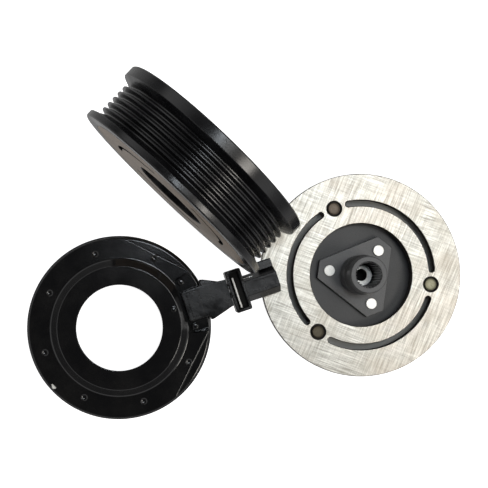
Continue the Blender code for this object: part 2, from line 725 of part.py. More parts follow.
def hub(base):
    """Clipped triangular flange and a long boss, in one forging with a stepped bore."""
    bottom = FRONT_PLATE_TOP + GAP
    item = prism("hub", flange_outline(), bottom, FLANGE_TOP, base, PARTS)
    chamfer = 0.7 * MM
    profile = [(0.0, BOSS_TOP), (BOSS_TOP_RADIUS - chamfer, BOSS_TOP),
               (BOSS_TOP_RADIUS, BOSS_TOP - chamfer), (BOSS_TOP_RADIUS, 24.0 * MM),
               (BOSS_BASE, 21.0 * MM), (BOSS_BASE, bottom + MM), (0.0, bottom + MM)]
    boss = turned("hub_boss", profile, base, CUTTERS, steps=36, closed=False)
    cut(item, boss, "UNION")
    bore = turned("hub_bore", [(0.0, BOSS_TOP + MM), (HUB_BORE, BOSS_TOP + MM),
                               (HUB_BORE, BORE_FLOOR), (BOLT_HOLE, BORE_FLOOR),
                               (BOLT_HOLE, bottom - MM), (0.0, bottom - MM)],
                  base, CUTTERS, steps=24, closed=False)
    cut(item, bore)
    for number, turn in enumerate(thirds(FIRST_FLANGE_CORNER)):
        cut(item, drill("flange_rivet_hole_%d" % (number + 1), 2.1 * MM, bottom - MM,
                        FLANGE_TOP + MM, polar(HUB_RIVET_RADIUS, turn), base))
    return finish_material(item, (0.02, 0.02, 0.021), 0.42, 0.0)


def hub_rivets(base):
    head, shank, foot = 2.9 * MM, 1.8 * MM, 3.0 * MM
    seat, under = FLANGE_TOP + GAP, FRONT_PLATE_BOTTOM - GAP
    profile = [(0.0, seat + 1.1 * MM), (head - 0.8 * MM, seat + 1.0 * MM),
               (head, seat + 0.3 * MM), (head, seat), (shank, seat), (shank, under),
               (foot, under), (foot, under - 0.8 * MM), (0.0, under - 0.8 * MM)]
    for number, turn in enumerate(thirds(FIRST_FLANGE_CORNER)):
        item = rivet("hub_rivet_%d" % (number + 1), profile, polar(HUB_RIVET_RADIUS, turn), base)
        finish_material(item, (0.75, 0.75, 0.72), 0.35, 1.0)


def air_gap_shim(base):
    low = BORE_FLOOR + GAP
    item = ring("air_gap_shim", SHIM_HOLE, HUB_BORE - GAP - 0.1 * MM, low,
                low + SHIM_THICKNESS, base, 24)
    return finish_material(item, (0.7, 0.7, 0.68), 0.25, 1.0)


def leaf_springs(base):
    """Thin strips from the front plate's rivets to the armature's rivets."""
    low, high = SPRING_BOTTOM, SPRING_BOTTOM + SPRING_THICKNESS
    for number, turn in enumerate(thirds(FIRST_ARMATURE_RIVET)):
        free = Vector(polar(ARMATURE_RIVET_RADIUS, turn))
        fixed = Vector(polar(SPRING_RIVET_RADIUS, turn - SPRING_SWEEP))
        heading = math.degrees(math.atan2(free.y - fixed.y, free.x - fixed.x))
        outline = []
        for centre, start in ((free, heading - 90), (fixed, heading + 90)):
            for x, y in arc(SPRING_HALF_WIDTH, start, start + 180, 7):
                outline.append((centre.x + x, centre.y + y))
        item = prism("leaf_spring_%d" % (number + 1), outline, low, high, base, PARTS)
        for name, hole, centre in (("free", 2.6 * MM, free), ("fixed", 2.0 * MM, fixed)):
            cut(item, drill("spring_%s_hole_%d" % (name, number + 1), hole, low - MM,
                            high + MM, centre, base))
        finish_material(item, (0.1, 0.1, 0.11), 0.3, 0.9)


def spring_rivets(base):
    head, shank, foot = 3.0 * MM, 1.7 * MM, 3.0 * MM
    seat = SPRING_BOTTOM + SPRING_THICKNESS + GAP
    under = FRONT_PLATE_BOTTOM - GAP
    profile = [(0.0, seat + 0.9 * MM), (head - 0.5 * MM, seat + 0.9 * MM), (head, seat + 0.4 * MM),
               (head, seat), (shank, seat), (shank, under), (foot, under),
               (foot, under - 0.8 * MM), (0.0, under - 0.8 * MM)]
    for number, turn in enumerate(thirds(FIRST_ARMATURE_RIVET - SPRING_SWEEP)):
        item = rivet("spring_rivet_%d" % (number + 1), profile,
                     polar(SPRING_RIVET_RADIUS, turn), base)
        finish_material(item, (0.3, 0.3, 0.28), 0.35, 0.9)


def armature_plate(base):
    """Flat steel ring with three arc slots and three pockets for the rivet heads."""
    low, high = ARMATURE_TOP - ARMATURE_THICKNESS, ARMATURE_TOP
    item = ring("armature_plate", ARMATURE_OPENING, ARMATURE_RADIUS, low, high, base)
    for number, turn in enumerate(thirds(FIRST_ARC_SLOT)):
        outline = arc_slot_outline(ARC_SLOT_RADIUS, ARC_SLOT_WIDTH, turn, ARC_SLOT_HALF_ANGLE)
        cut(item, prism("arc_slot_%d" % (number + 1), outline, low - 2 * MM, high + 2 * MM,
                        base, CUTTERS))
    for number, turn in enumerate(thirds(FIRST_ARMATURE_RIVET)):
        centre = polar(ARMATURE_RIVET_RADIUS, turn)
        cut(item, drill("rivet_pocket_%d" % (number + 1), RIVET_POCKET,
                        high - RIVET_POCKET_DEPTH, high + MM, centre, base))
        cut(item, drill("armature_rivet_hole_%d" % (number + 1), 2.5 * MM, low - MM,
                        high - MM, centre, base))
    return finish_material(item, (0.72, 0.7, 0.65), 0.35, 1.0)


def armature_rivets(base):
    """Head sunk in the plate's pocket, a spacing collar over the spring and a foot under it."""
    head, shank, collar = 3.4 * MM, 2.15 * MM, 3.6 * MM
    plate_low = ARMATURE_TOP - ARMATURE_THICKNESS
    seat = ARMATURE_TOP - RIVET_POCKET_DEPTH + GAP
    top = ARMATURE_TOP - 0.6 * MM
    under = SPRING_BOTTOM - 2 * GAP - 0.6 * MM
    collar_low = SPRING_BOTTOM + SPRING_THICKNESS + GAP
    profile = [(0.0, top), (head - 0.3 * MM, top), (head, top - 0.3 * MM), (head, seat),
               (shank, seat), (shank, plate_low - GAP), (collar, plate_low - GAP),
               (collar, collar_low), (shank, collar_low), (shank, under), (collar, under),
               (collar, under - 1.0 * MM), (0.0, under - 1.0 * MM)]
    for number, turn in enumerate(thirds(FIRST_ARMATURE_RIVET)):
        item = rivet("armature_rivet_%d" % (number + 1), profile,
                     polar(ARMATURE_RIVET_RADIUS, turn), base)
        finish_material(item, (0.2, 0.19, 0.13), 0.45, 0.8)


def make_hub_and_armature():
    base = place("hub_place", HUB_PLACE, (0.0, 0.0, 0.0))
    front_plate(base)
    hub(base)
    hub_rivets(base)
    air_gap_shim(base)
    leaf_springs(base)
    spring_rivets(base)
    armature_plate(base)
    armature_rivets(base)


clear_scene()
PARTS = new_collection("electromagnetic_clutch")
CUTTERS = new_collection("cutters")
make_field_coil()
make_pulley()
make_hub_and_armature()
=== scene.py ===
"""Looks for the electromagnetic clutch: field coil, pulley with bearing, hub with armature.

Every piece is drawn in millimetres in the frame of its own loose part (coil, pulley or hub),
scaled to metres, stood where the CAD stands, and rides on its CAD body.
"""
import json
import math

import bmesh
import bpy
from mathutils import Matrix, Vector


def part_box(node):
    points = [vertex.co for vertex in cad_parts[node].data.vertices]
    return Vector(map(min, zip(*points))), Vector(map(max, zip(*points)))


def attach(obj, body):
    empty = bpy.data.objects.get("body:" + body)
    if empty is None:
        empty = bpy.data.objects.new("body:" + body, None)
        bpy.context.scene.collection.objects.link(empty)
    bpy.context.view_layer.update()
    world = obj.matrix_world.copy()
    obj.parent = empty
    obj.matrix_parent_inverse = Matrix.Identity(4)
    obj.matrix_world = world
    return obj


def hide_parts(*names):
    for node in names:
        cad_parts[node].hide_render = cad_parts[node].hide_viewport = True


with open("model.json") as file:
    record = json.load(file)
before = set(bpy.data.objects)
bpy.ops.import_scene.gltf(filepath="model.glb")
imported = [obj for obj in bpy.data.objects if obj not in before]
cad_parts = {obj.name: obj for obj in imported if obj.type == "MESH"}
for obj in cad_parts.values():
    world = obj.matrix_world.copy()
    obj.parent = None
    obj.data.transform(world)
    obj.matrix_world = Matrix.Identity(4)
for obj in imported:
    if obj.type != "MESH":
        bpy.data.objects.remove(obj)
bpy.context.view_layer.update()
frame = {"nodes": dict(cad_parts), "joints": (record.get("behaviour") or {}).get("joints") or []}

MM = 0.001
STEPS = 192                 # facets round a large turned piece
SMALL_STEPS = 48            # facets round a rivet head or a small hole
ARC_STEP = math.radians(18) # turn per facet where a corner is rounded
SOFT_ANGLE = math.radians(34)
EDGE_BAND = 1.0             # the trim moves the points this near to the outer edge


# ---------------------------------------------------------------- where the loose parts stand

def middle(node):
    low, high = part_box(node)
    return (low + high) / 2


def joint(name):
    return next(item for item in frame["joints"] if item["name"] == name)


def upright_place(node):
    """On the floor, under the middle of a round node."""
    centre = middle(node)
    return Matrix.Translation((centre.x, centre.y, 0.0))


def arm_turn():
    """Turns +X onto the direction of the connector arm."""
    reach = middle("terminal_blade_1") + middle("terminal_blade_2") - 2 * middle("coil_shell")
    return Matrix.Rotation(math.atan2(reach.y, reach.x), 4, "Z")


def pulley_place():
    """Middle of the rim, local Z along the axis towards the friction face."""
    spin = joint("pulley_spin")
    along = Vector(spin["axis"]).normalized()
    side = Vector((0.0, 0.0, -1.0))
    turn = Matrix((side, along.cross(side), along)).transposed().to_4x4()
    return Matrix.Translation(spin["pos_m"]) @ turn


COIL = upright_place("coil_shell")
ARM = arm_turn()
PULLEY = pulley_place()
HUB = upright_place("armature_plate")


# ---------------------------------------------------------------- shapes

def mesh_from(shape):
    mesh = bpy.data.meshes.new("piece")
    shape.to_mesh(mesh)
    shape.free()
    return mesh


def rounded(points, closed=True):
    """Round the corners of an outline: a point's third number is its corner's radius."""
    result = []
    count = len(points)
    for i, point in enumerate(points):
        here = Vector(point[:2])
        radius = point[2] if len(point) > 2 else 0.0
        if radius <= 0.0 or (not closed and i in (0, count - 1)):
            result.append(here)
            continue
        back = Vector(points[i - 1][:2]) - here
        ahead = Vector(points[(i + 1) % count][:2]) - here
        half = back.angle(ahead) / 2
        reach = min(radius / math.tan(half), 0.49 * min(back.length, ahead.length))
        radius = reach * math.tan(half)
        bisector = (back.normalized() + ahead.normalized()).normalized()
        centre = here + bisector * (radius / math.sin(half))
        first = here + back.normalized() * reach - centre
        last = here + ahead.normalized() * reach - centre
        start = math.atan2(first.y, first.x)
        sweep = math.atan2(last.y, last.x) - start
        sweep = (sweep + math.pi) % (2 * math.pi) - math.pi
        steps = max(2, math.ceil(abs(sweep) / ARC_STEP))
        for k in range(steps + 1):
            angle = start + sweep * k / steps
            result.append(centre + Vector((math.cos(angle), math.sin(angle))) * radius)
    return result


def lathe(profile, steps=STEPS, closed=True, trim=None):
    """Turn (radius, height[, corner radius]) points round local Z.

    A trim gives the reach of the outer edge, in mm, at an angle in degrees.
    """
    shape = bmesh.new()
    rings = []
    points = rounded(profile, closed)
    outer = max(radius for radius, height in points)
    for radius, height in points:
        if radius < 1e-6:
            rings.append([shape.verts.new((0.0, 0.0, height))])
            continue
        at_edge = trim is not None and radius > outer - EDGE_BAND
        ring = []
        for k in range(steps):
            degrees = 360.0 * k / steps
            drawn_in = outer - trim(degrees) if at_edge else 0.0
            ring.append(shape.verts.new((*polar(radius - drawn_in, degrees), height)))
        rings.append(ring)
    pairs = list(zip(rings, rings[1:]))
    if closed:
        pairs.append((rings[-1], rings[0]))
    for upper, lower in pairs:
        for k in range(steps):
            after = (k + 1) % steps
            corners = [upper[k % len(upper)], upper[after % len(upper)],
                       lower[after % len(lower)], lower[k % len(lower)]]
            corners = list(dict.fromkeys(corners))
            if len(corners) > 2:
                shape.faces.new(corners)
    bmesh.ops.recalc_face_normals(shape, faces=shape.faces)
    return mesh_from(shape)


def slab(outlines, low, high, edge=0.0, segments=3):
    """Flat outlines (the first one outside, the rest holes) made solid, with rounded edges."""
    curve = bpy.data.curves.new("outline", "CURVE")
    curve.dimensions = "2D"
    curve.fill_mode = "BOTH"
    curve.extrude = (high - low) / 2 - edge
    curve.bevel_depth = edge
    curve.bevel_resolution = segments
    curve.offset = -edge
    for outline in outlines:
        spline = curve.splines.new("POLY")
        spline.points.add(len(outline) - 1)
        for point, place in zip(spline.points, outline):
            point.co = (place[0], place[1], 0.0, 1.0)
        spline.use_cyclic_u = True
    guide = bpy.data.objects.new("outline", curve)
    bpy.context.scene.collection.objects.link(guide)
    bpy.context.view_layer.update()
    drawn = guide.evaluated_get(bpy.context.evaluated_depsgraph_get())
    mesh = bpy.data.meshes.new_from_object(drawn)
    bpy.data.objects.remove(guide, do_unlink=True)
    shape = bmesh.new()
    shape.from_mesh(mesh)
    bmesh.ops.remove_doubles(shape, verts=shape.verts, dist=0.0005)
    bmesh.ops.recalc_face_normals(shape, faces=shape.faces)
    bmesh.ops.translate(shape, verts=shape.verts, vec=(0.0, 0.0, (low + high) / 2))
    return mesh_from(shape)


def block(low, high):
    """A plain block, used as a cutter or as the start of a shaped piece."""
    shape = bmesh.new()
    bmesh.ops.create_cube(shape, size=1.0)
    low, high = Vector(low), Vector(high)
    bmesh.ops.scale(shape, verts=shape.verts, vec=high - low)
    bmesh.ops.translate(shape, verts=shape.verts, vec=(low + high) / 2)
    return mesh_from(shape)


def moved(mesh, matrix):
    mesh.transform(matrix)
    return mesh


def shifted(mesh, x=0.0, y=0.0, z=0.0):
    return moved(mesh, Matrix.Translation((x, y, z)))


def joined(meshes):
    shape = bmesh.new()
    for mesh in meshes:
        shape.from_mesh(mesh)
    return mesh_from(shape)


def evaluated(item):
    bpy.context.view_layer.update()
    drawn = item.evaluated_get(bpy.context.evaluated_depsgraph_get())
    return bpy.data.meshes.new_from_object(drawn)


def combined(mesh, other, operation="DIFFERENCE"):
    """Boolean of two meshes, as a new mesh."""
    item = bpy.data.objects.new("whole", mesh)
    tool = bpy.data.objects.new("tool", other)
    for each in (item, tool):
        bpy.context.scene.collection.objects.link(each)
    step = item.modifiers.new("boolean", "BOOLEAN")
    step.operation = operation
    step.solver = "MANIFOLD"
    step.object = tool
    result = evaluated(item)
    for each in (item, tool):
        bpy.data.objects.remove(each, do_unlink=True)
    return result


def softened(mesh, width, angle=60.0, segments=3, where=None):
    """Round the edges sharper than the angle, or only those whose two ends pass a test."""
    shape = bmesh.new()
    shape.from_mesh(mesh)
    sharp = math.radians(angle)
    edges = [edge for edge in shape.edges
             if len(edge.link_faces) == 2 and edge.calc_face_angle(0.0) > sharp
             and (where is None or all(where(vert.co) for vert in edge.verts))]
    bmesh.ops.bevel(shape, geom=edges, offset=width, offset_type="OFFSET", segments=segments,
                    profile=0.5, affect="EDGES", clamp_overlap=False)
    return mesh_from(shape)


def polar(radius, degrees):
    angle = math.radians(degrees)
    return radius * math.cos(angle), radius * math.sin(angle)


def circle(radius, count=STEPS, centre=(0.0, 0.0)):
    points = []
    for k in range(count):
        x, y = polar(radius, 360.0 * k / count)
        points.append((centre[0] + x, centre[1] + y))
    return points


def arc(radius, start, end, count):
    return [polar(radius, start + (end - start) * i / (count - 1)) for i in range(count)]


def arc_slot(radius, width, centre, half_angle, count=48):
    """A slot that follows a circle, with round ends; angles in degrees."""
    start, end = centre - half_angle, centre + half_angle
    outline = arc(radius + width / 2, start, end, count)
    for turn_from, base in ((end, 0.0), (start, 180.0)):
        x, y = polar(radius, turn_from)
        for k in range(1, 8):
            dx, dy = polar(width / 2, turn_from + base + 22.5 * k)
            outline.append((x + dx, y + dy))
        if base == 0.0:
            outline += arc(radius - width / 2, end, start, count)
    return outline


def thirds(first):
    return [first + 120.0 * k for k in range(3)]


def piece(name, mesh, place, body, finishes, replaces):
    """Put a finished mesh in the scene: smooth, seated on its body, standing for its nodes."""
    if place is COIL:
        mesh.transform(ARM)
    mesh.transform(Matrix.Scale(MM, 4))
    mesh.name = name
    mesh.shade_smooth()
    mesh.set_sharp_from_angle(angle=SOFT_ANGLE)
    marks = [face.material_index for face in mesh.polygons]
    mesh.materials.clear()
    for finish in finishes:
        mesh.materials.append(finish)
    mesh.polygons.foreach_set("material_index", marks)
    item = bpy.data.objects.new(name, mesh)
    bpy.context.scene.collection.objects.link(item)
    item.matrix_world = place
    step = item.modifiers.new("even shading", "WEIGHTED_NORMAL")
    step.keep_sharp = True
    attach(item, body)
    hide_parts(*replaces)


# ---------------------------------------------------------------- materials

class Finish:
    """A Principled material, with short calls for the nodes that vary it."""

    def __init__(self, name, **values):
        self.material = bpy.data.materials.new(name)
        self.material.use_nodes = True
        self.tree = self.material.node_tree
        self.shader = self.tree.nodes["Principled BSDF"]
        for socket, value in values.items():
            self.shader.inputs[socket.replace("_", " ")].default_value = value
        self.place = self.node("ShaderNodeTexCoord").outputs["Object"]

    def node(self, kind, settings=None, **inputs):
        item = self.tree.nodes.new(kind)
        for key, value in (settings or {}).items():
            setattr(item, key, value)
        for key, value in inputs.items():
            self.feed(item.inputs[key.replace("_", " ")], value)
        return item

    def feed(self, socket, value):
        if isinstance(value, bpy.types.NodeSocket):
            self.tree.links.new(value, socket)
        else:
            socket.default_value = value

    def noise(self, scale, detail=3.0, place=None, roughness=0.5):
        item = self.node("ShaderNodeTexNoise", Vector=place or self.place, Scale=scale,
                         Detail=detail, Roughness=roughness)
        return item.outputs["Fac"]

    def stretched(self, scale, turn=0.0):
        """Coordinates turned about Z, then scaled along each axis."""
        turned = self.node("ShaderNodeMapping", Vector=self.place,
                           Rotation=(0.0, 0.0, math.radians(turn)))
        sized = self.node("ShaderNodeMapping", Vector=turned.outputs["Vector"], Scale=scale)
        return sized.outputs["Vector"]

    def around(self):
        """Coordinates that change only with distance from local Z."""
        flat = self.node("ShaderNodeVectorMath", {"operation": "MULTIPLY"})
        self.feed(flat.inputs[0], self.place)
        flat.inputs[1].default_value = (1.0, 1.0, 0.0)
        size = self.node("ShaderNodeVectorMath", {"operation": "LENGTH"})
        self.feed(size.inputs[0], flat.outputs[0])
        both = self.node("ShaderNodeCombineXYZ", X=size.outputs["Value"])
        return both.outputs[0]

    def spread(self, value, low, high, start=0.3, end=0.7):
        item = self.node("ShaderNodeMapRange", From_Min=start, From_Max=end, To_Min=low,
                         To_Max=high)
        self.feed(item.inputs["Value"], value)
        return item.outputs["Result"]

    def blend(self, factor, first, second):
        """Blend of two colours."""
        item = self.node("ShaderNodeMix", {"data_type": "RGBA"})
        self.feed(item.inputs[0], factor)
        for socket, value in ((item.inputs[6], first), (item.inputs[7], second)):
            self.feed(socket, value if isinstance(value, bpy.types.NodeSocket)
                      else (*value, 1.0))
        return item.outputs[2]

    def mixed(self, factor, first, second):
        """Blend of two plain values."""
        item = self.node("ShaderNodeMix", {"data_type": "FLOAT"})
        for place, value in ((0, factor), (2, first), (3, second)):
            self.feed(item.inputs[place], value)
        return item.outputs[0]

    def math(self, operation, first, second=0.5):
        item = self.node("ShaderNodeMath", {"operation": operation})
        self.feed(item.inputs[0], first)
        self.feed(item.inputs[1], second)
        return item.outputs[0]

    def colour(self, value):
        self.feed(self.shader.inputs["Base Color"], value)

    def roughness(self, value):
        self.feed(self.shader.inputs["Roughness"], value)

    def relief(self, layers):
        """Bump from (height, strength, depth in metres) layers, one on the next."""
        normal = None
        for height, strength, depth in layers:
            bump = self.node("ShaderNodeBump", Strength=strength, Distance=depth)
            self.feed(bump.inputs["Height"], height)
            if normal is not None:
                self.feed(bump.inputs["Normal"], normal)
            normal = bump.outputs["Normal"]
        self.feed(self.shader.inputs["Normal"], normal)


def coated_black(name, base, dust, rough, texture):
    """Black coating: faint dust in the colour, uneven gloss and a fine orange-peel skin."""
    finish = Finish(name, IOR=1.5)
    cloud = finish.noise(55.0, 6.0, roughness=0.65)
    speck = finish.noise(1400.0, 2.0)
    grime = finish.math("MULTIPLY", finish.spread(cloud, 0.0, 1.0, 0.42, 0.72),
                        finish.spread(speck, 0.3, 1.0))
    finish.colour(finish.blend(grime, base, dust))
    finish.roughness(finish.spread(cloud, rough[0], rough[1]))
    finish.relief([(finish.noise(texture, 3.0), 0.18, 0.00004),
                   (finish.noise(90.0, 4.0), 0.12, 0.0002)])
    return finish.material


def moulded_black(name, base, dust):
    """Injection-moulded nylon: satin, faint flow marks and a fine spark-eroded grain."""
    finish = Finish(name, IOR=1.4)
    flow = finish.noise(1.0, 4.0, finish.stretched((90.0, 170.0, 140.0), 12.0), 0.6)
    grain = finish.noise(2600.0, 2.0)
    finish.colour(finish.blend(finish.spread(flow, 0.0, 1.0), base, dust))
    finish.roughness(finish.spread(flow, 0.14, 0.36))
    finish.relief([(grain, 0.25, 0.00003), (flow, 0.15, 0.0002)])
    return finish.material


def pulley_paint():
    """Gloss black over turned steel: the tool's rings show faintly through."""
    finish = Finish("gloss_black_pulley_paint", IOR=1.5)
    rings = finish.noise(1.0, 3.0, finish.stretched((0.0, 0.0, 2600.0)), 0.6)
    cloud = finish.noise(70.0, 5.0)
    finish.colour(finish.blend(finish.spread(cloud, 0.0, 1.0), (0.0035, 0.0035, 0.004),
                               (0.008, 0.008, 0.009)))
    finish.roughness(finish.spread(cloud, 0.2, 0.31))
    finish.relief([(rings, 0.3, 0.00003), (finish.noise(700.0, 3.0), 0.12, 0.00005)])
    return finish.material


def turned_steel(name, light, dark, rough, pitch=2200.0, depth=0.00004, metal=1.0):
    """Bare steel with concentric lathe marks and patchy colour."""
    finish = Finish(name, Metallic=metal)
    rings = finish.noise(pitch, 3.0, finish.around(), 0.6)
    patch = finish.noise(60.0, 5.0, roughness=0.6)
    shade = finish.math("MULTIPLY_ADD", finish.spread(rings, 0.0, 0.45), 1.0)
    finish.feed(shade.node.inputs[2], finish.spread(patch, 0.0, 0.55))
    finish.colour(finish.blend(shade, light, dark))
    finish.roughness(finish.spread(rings, rough[0], rough[1]))
    finish.relief([(rings, 0.5, depth), (finish.noise(900.0, 3.0), 0.15, 0.00004)])
    return finish.material


def ground_steel():
    """Bare ground face: two families of scratches crossing in patches, with faint warm stains."""
    finish = Finish("ground_steel_face", Metallic=1.0)
    fine, broad = [], []
    for turn in (-70.0, 23.0):
        broad.append(finish.noise(1.0, 3.0, finish.stretched((1300.0, 60.0, 60.0), turn), 0.65))
        fine.append(finish.noise(1.0, 3.0, finish.stretched((3600.0, 80.0, 60.0), turn + 4.0),
                                 0.65))
    share = finish.spread(finish.noise(38.0, 2.0), 0.15, 0.85, 0.4, 0.6)
    crossed = finish.mixed(share, broad[0], broad[1])
    hairs = finish.math("MULTIPLY", finish.math("ADD", fine[0], fine[1]), 0.5)
    marks = finish.mixed(0.35, crossed, hairs)
    cloud = finish.noise(75.0, 4.0, roughness=0.6)
    bright = finish.blend(finish.spread(marks, 0.0, 1.0, 0.41, 0.59), (0.30, 0.29, 0.26),
                          (0.73, 0.72, 0.67))
    bright = finish.blend(finish.spread(cloud, 0.0, 0.5, 0.42, 0.66), bright,
                          (0.42, 0.39, 0.33))
    stain = finish.noise(26.0, 5.0, roughness=0.6)
    finish.colour(finish.blend(finish.spread(stain, 0.0, 0.35, 0.5, 0.72), bright,
                               (0.50, 0.41, 0.33)))
    finish.roughness(finish.spread(marks, 0.42, 0.34, 0.4, 0.6))
    finish.relief([(crossed, 0.3, 0.00006), (fine[0], 0.4, 0.00002), (fine[1], 0.4, 0.00002)])
    return finish.material


def phosphated(name, light, dark, rough):
    """Satin charcoal phosphate over pressed or forged steel."""
    finish = Finish(name, IOR=1.6, Metallic=0.35)
    cloud = finish.noise(48.0, 6.0, roughness=0.62)
    grain = finish.noise(1700.0, 3.0)
    shade = finish.math("MULTIPLY", finish.spread(cloud, 0.2, 1.0), finish.spread(grain, 0.5, 1.0))
    finish.colour(finish.blend(shade, dark, light))
    finish.roughness(finish.spread(cloud, rough[0], rough[1]))
    finish.relief([(grain, 0.22, 0.00004), (finish.noise(160.0, 4.0), 0.15, 0.00015)])
    return finish.material


def rivet_metal(name, light, dark, rough):
    """Upset rivet metal with a hammered face."""
    finish = Finish(name, Metallic=0.9)
    dents = finish.noise(620.0, 3.0, roughness=0.6)
    finish.colour(finish.blend(finish.spread(dents, 0.0, 1.0, 0.35, 0.65), dark, light))
    finish.roughness(finish.spread(dents, rough[0], rough[1]))
    finish.relief([(dents, 0.2, 0.00008)])
    return finish.material


def plated_rivet(name, dark, rubbed):
    """Chromated rivet, rubbed a little paler in the middle of its head."""
    finish = Finish(name, Metallic=0.6)
    radius = finish.around()
    patch = finish.noise(700.0, 4.0, roughness=0.6)
    reach = finish.node("ShaderNodeSeparateXYZ", Vector=radius).outputs["X"]
    centre = finish.math("MULTIPLY", finish.spread(reach, 1.0, 0.0, 0.0014, 0.0030),
                         finish.spread(patch, 0.25, 1.0, 0.35, 0.6))
    finish.colour(finish.blend(centre, dark, rubbed))
    finish.roughness(finish.spread(patch, 0.42, 0.6))
    finish.relief([(patch, 0.4, 0.00012)])
    return finish.material


def winding_copper():
    """Enamelled wire laid in close turns."""
    finish = Finish("enamelled_winding", Metallic=1.0)
    turns = finish.node("ShaderNodeTexWave", {"bands_direction": "Z", "wave_type": "BANDS"},
                        Vector=finish.place, Scale=420.0, Distortion=0.3, Detail=1.0)
    fac = turns.outputs["Fac"]
    finish.colour(finish.blend(fac, (0.32, 0.1, 0.03), (0.8, 0.33, 0.12)))
    finish.roughness(finish.spread(fac, 0.42, 0.25, 0.0, 1.0))
    finish.relief([(fac, 0.8, 0.0002)])
    return finish.material


def plain_grain(name, light, dark, rough, scale=900.0, depth=0.00005, **values):
    """A quiet finish for hidden parts: two close tones, uneven gloss and a fine grain."""
    finish = Finish(name, **values)
    grain = finish.noise(scale, 4.0, roughness=0.6)
    finish.colour(finish.blend(finish.spread(grain, 0.0, 1.0), dark, light))
    finish.roughness(finish.spread(grain, rough[0], rough[1]))
    finish.relief([(grain, 0.3, depth)])
    return finish.material


ECOAT = coated_black("black_ecoat_steel", (0.006, 0.006, 0.0065), (0.014, 0.0135, 0.013),
                     (0.09, 0.13), 1100.0)
MOULDING = moulded_black("black_moulding_nylon", (0.003, 0.003, 0.0032),
                         (0.007, 0.007, 0.0075))
# Darker and rougher than the moulding: painted shade for the collar's clip slot
SLOT_PAINTED_SHADE = plain_grain("moulding_recess_painted_shade", (0.004, 0.004, 0.004), (0.002, 0.002, 0.002),
                   (0.6, 0.75), IOR=1.3)
# Near white: the bare edge of a chip in the plate's paint, and a painted highlight on the collar's
# rib
WORN_AND_PAINTED_HIGHLIGHT = plain_grain("worn_chip_and_painted_highlight", (0.85, 0.84, 0.8), (0.6, 0.6, 0.57),
                     (0.25, 0.35))
PAINT = pulley_paint()
FRICTION = turned_steel("friction_face_steel", (0.3, 0.23, 0.17), (0.1, 0.072, 0.048),
                        (0.34, 0.5), metal=0.3)
GROUND = ground_steel()
# Far darker than the ground face: painted shade on the armature's outer and inner rim walls, for a
# thin dark edge line
ARMATURE_SIDE_PAINTED_SHADE = turned_steel("armature_side_painted_shade_steel", (0.2, 0.175, 0.145), (0.07, 0.058, 0.045),
                             (0.36, 0.5))
PLATE_FINISH = phosphated("charcoal_phosphate", (0.062, 0.063, 0.064), (0.03, 0.03, 0.031),
                          (0.36, 0.5))
HUB_FINISH = phosphated("dark_phosphate", (0.11, 0.11, 0.111), (0.05, 0.05, 0.051),
                        (0.34, 0.46))
BRIGHT = rivet_metal("bright_rivet_steel", (0.97, 0.96, 0.92), (0.84, 0.83, 0.79),
                     (0.42, 0.52))
# Much lighter than the charcoal phosphate: painted light on the front plate under the armature
PAINTED_LIGHT_UNDER_ARMATURE = phosphated("phosphate_painted_light_under_armature", (0.42, 0.42, 0.4), (0.28, 0.28, 0.27),
                            (0.5, 0.6))
RIVET_PLATING = [plated_rivet("olive_rivet_plating_" + name, dark, rubbed)
                 for name, dark, rubbed in (
                     ("brown", (0.12, 0.095, 0.07), (0.2, 0.165, 0.13)),
                     ("dark", (0.07, 0.058, 0.038), (0.11, 0.095, 0.066)),
                     ("green", (0.21, 0.2, 0.13), (0.4, 0.385, 0.27)))]
# Near black: painted shade on the armature's pockets, slot walls, edge roundings and underside
ARMATURE_RECESS_PAINTED_SHADE = plain_grain("armature_recess_painted_shade_steel", (0.045, 0.038, 0.032), (0.02, 0.017, 0.014),
                    (0.5, 0.65), Metallic=0.5)
SPRING = plain_grain("blued_spring_steel", (0.16, 0.16, 0.17), (0.09, 0.09, 0.1),
                     (0.25, 0.38), Metallic=0.9)
BEARING = turned_steel("ground_bearing_steel", (0.72, 0.72, 0.72), (0.5, 0.5, 0.5),
                       (0.14, 0.26), 3000.0, 0.00002)
RUBBER = plain_grain("seal_rubber_black", (0.03, 0.03, 0.03), (0.018, 0.018, 0.018),
                     (0.55, 0.7), 1500.0)
NYLON = plain_grain("cage_nylon_brown", (0.36, 0.2, 0.1), (0.24, 0.12, 0.06),
                    (0.4, 0.55), Subsurface_Weight=0.05)
NATURAL = plain_grain("bobbin_nylon_natural", (0.62, 0.56, 0.43), (0.5, 0.44, 0.32),
                      (0.4, 0.55), Subsurface_Weight=0.05)
RESIN = plain_grain("potting_resin_dark", (0.05, 0.045, 0.04), (0.02, 0.018, 0.016),
                    (0.2, 0.45), 140.0, 0.0006)
TINNED = plain_grain("tinned_blade_metal", (0.82, 0.81, 0.78), (0.6, 0.58, 0.55),
                     (0.2, 0.34), 1800.0, Metallic=1.0)
COPPER = winding_copper()


# ---------------------------------------------------------------- field coil

COIL_BODY = "field_coil_and_inner_ring"
PLATE_RADIUS = 47.4
PLATE_TOP = 23.4
CHORD_TURNS = (-45.0, 45.0)     # directions of the two straight cuts from the arm
CHORD_REACH = 43.2              # distance of each cut from the middle
DIMPLE_REACH = 40.6
NICK_TURN = 203.4
NICK = polar(45.6, NICK_TURN)   # a chip in the plate's paint, near its edge
BLADE_SIDES = (-2.5, 2.5)
MARK = (41.5, -2.2)             # middle of the round moulding mark


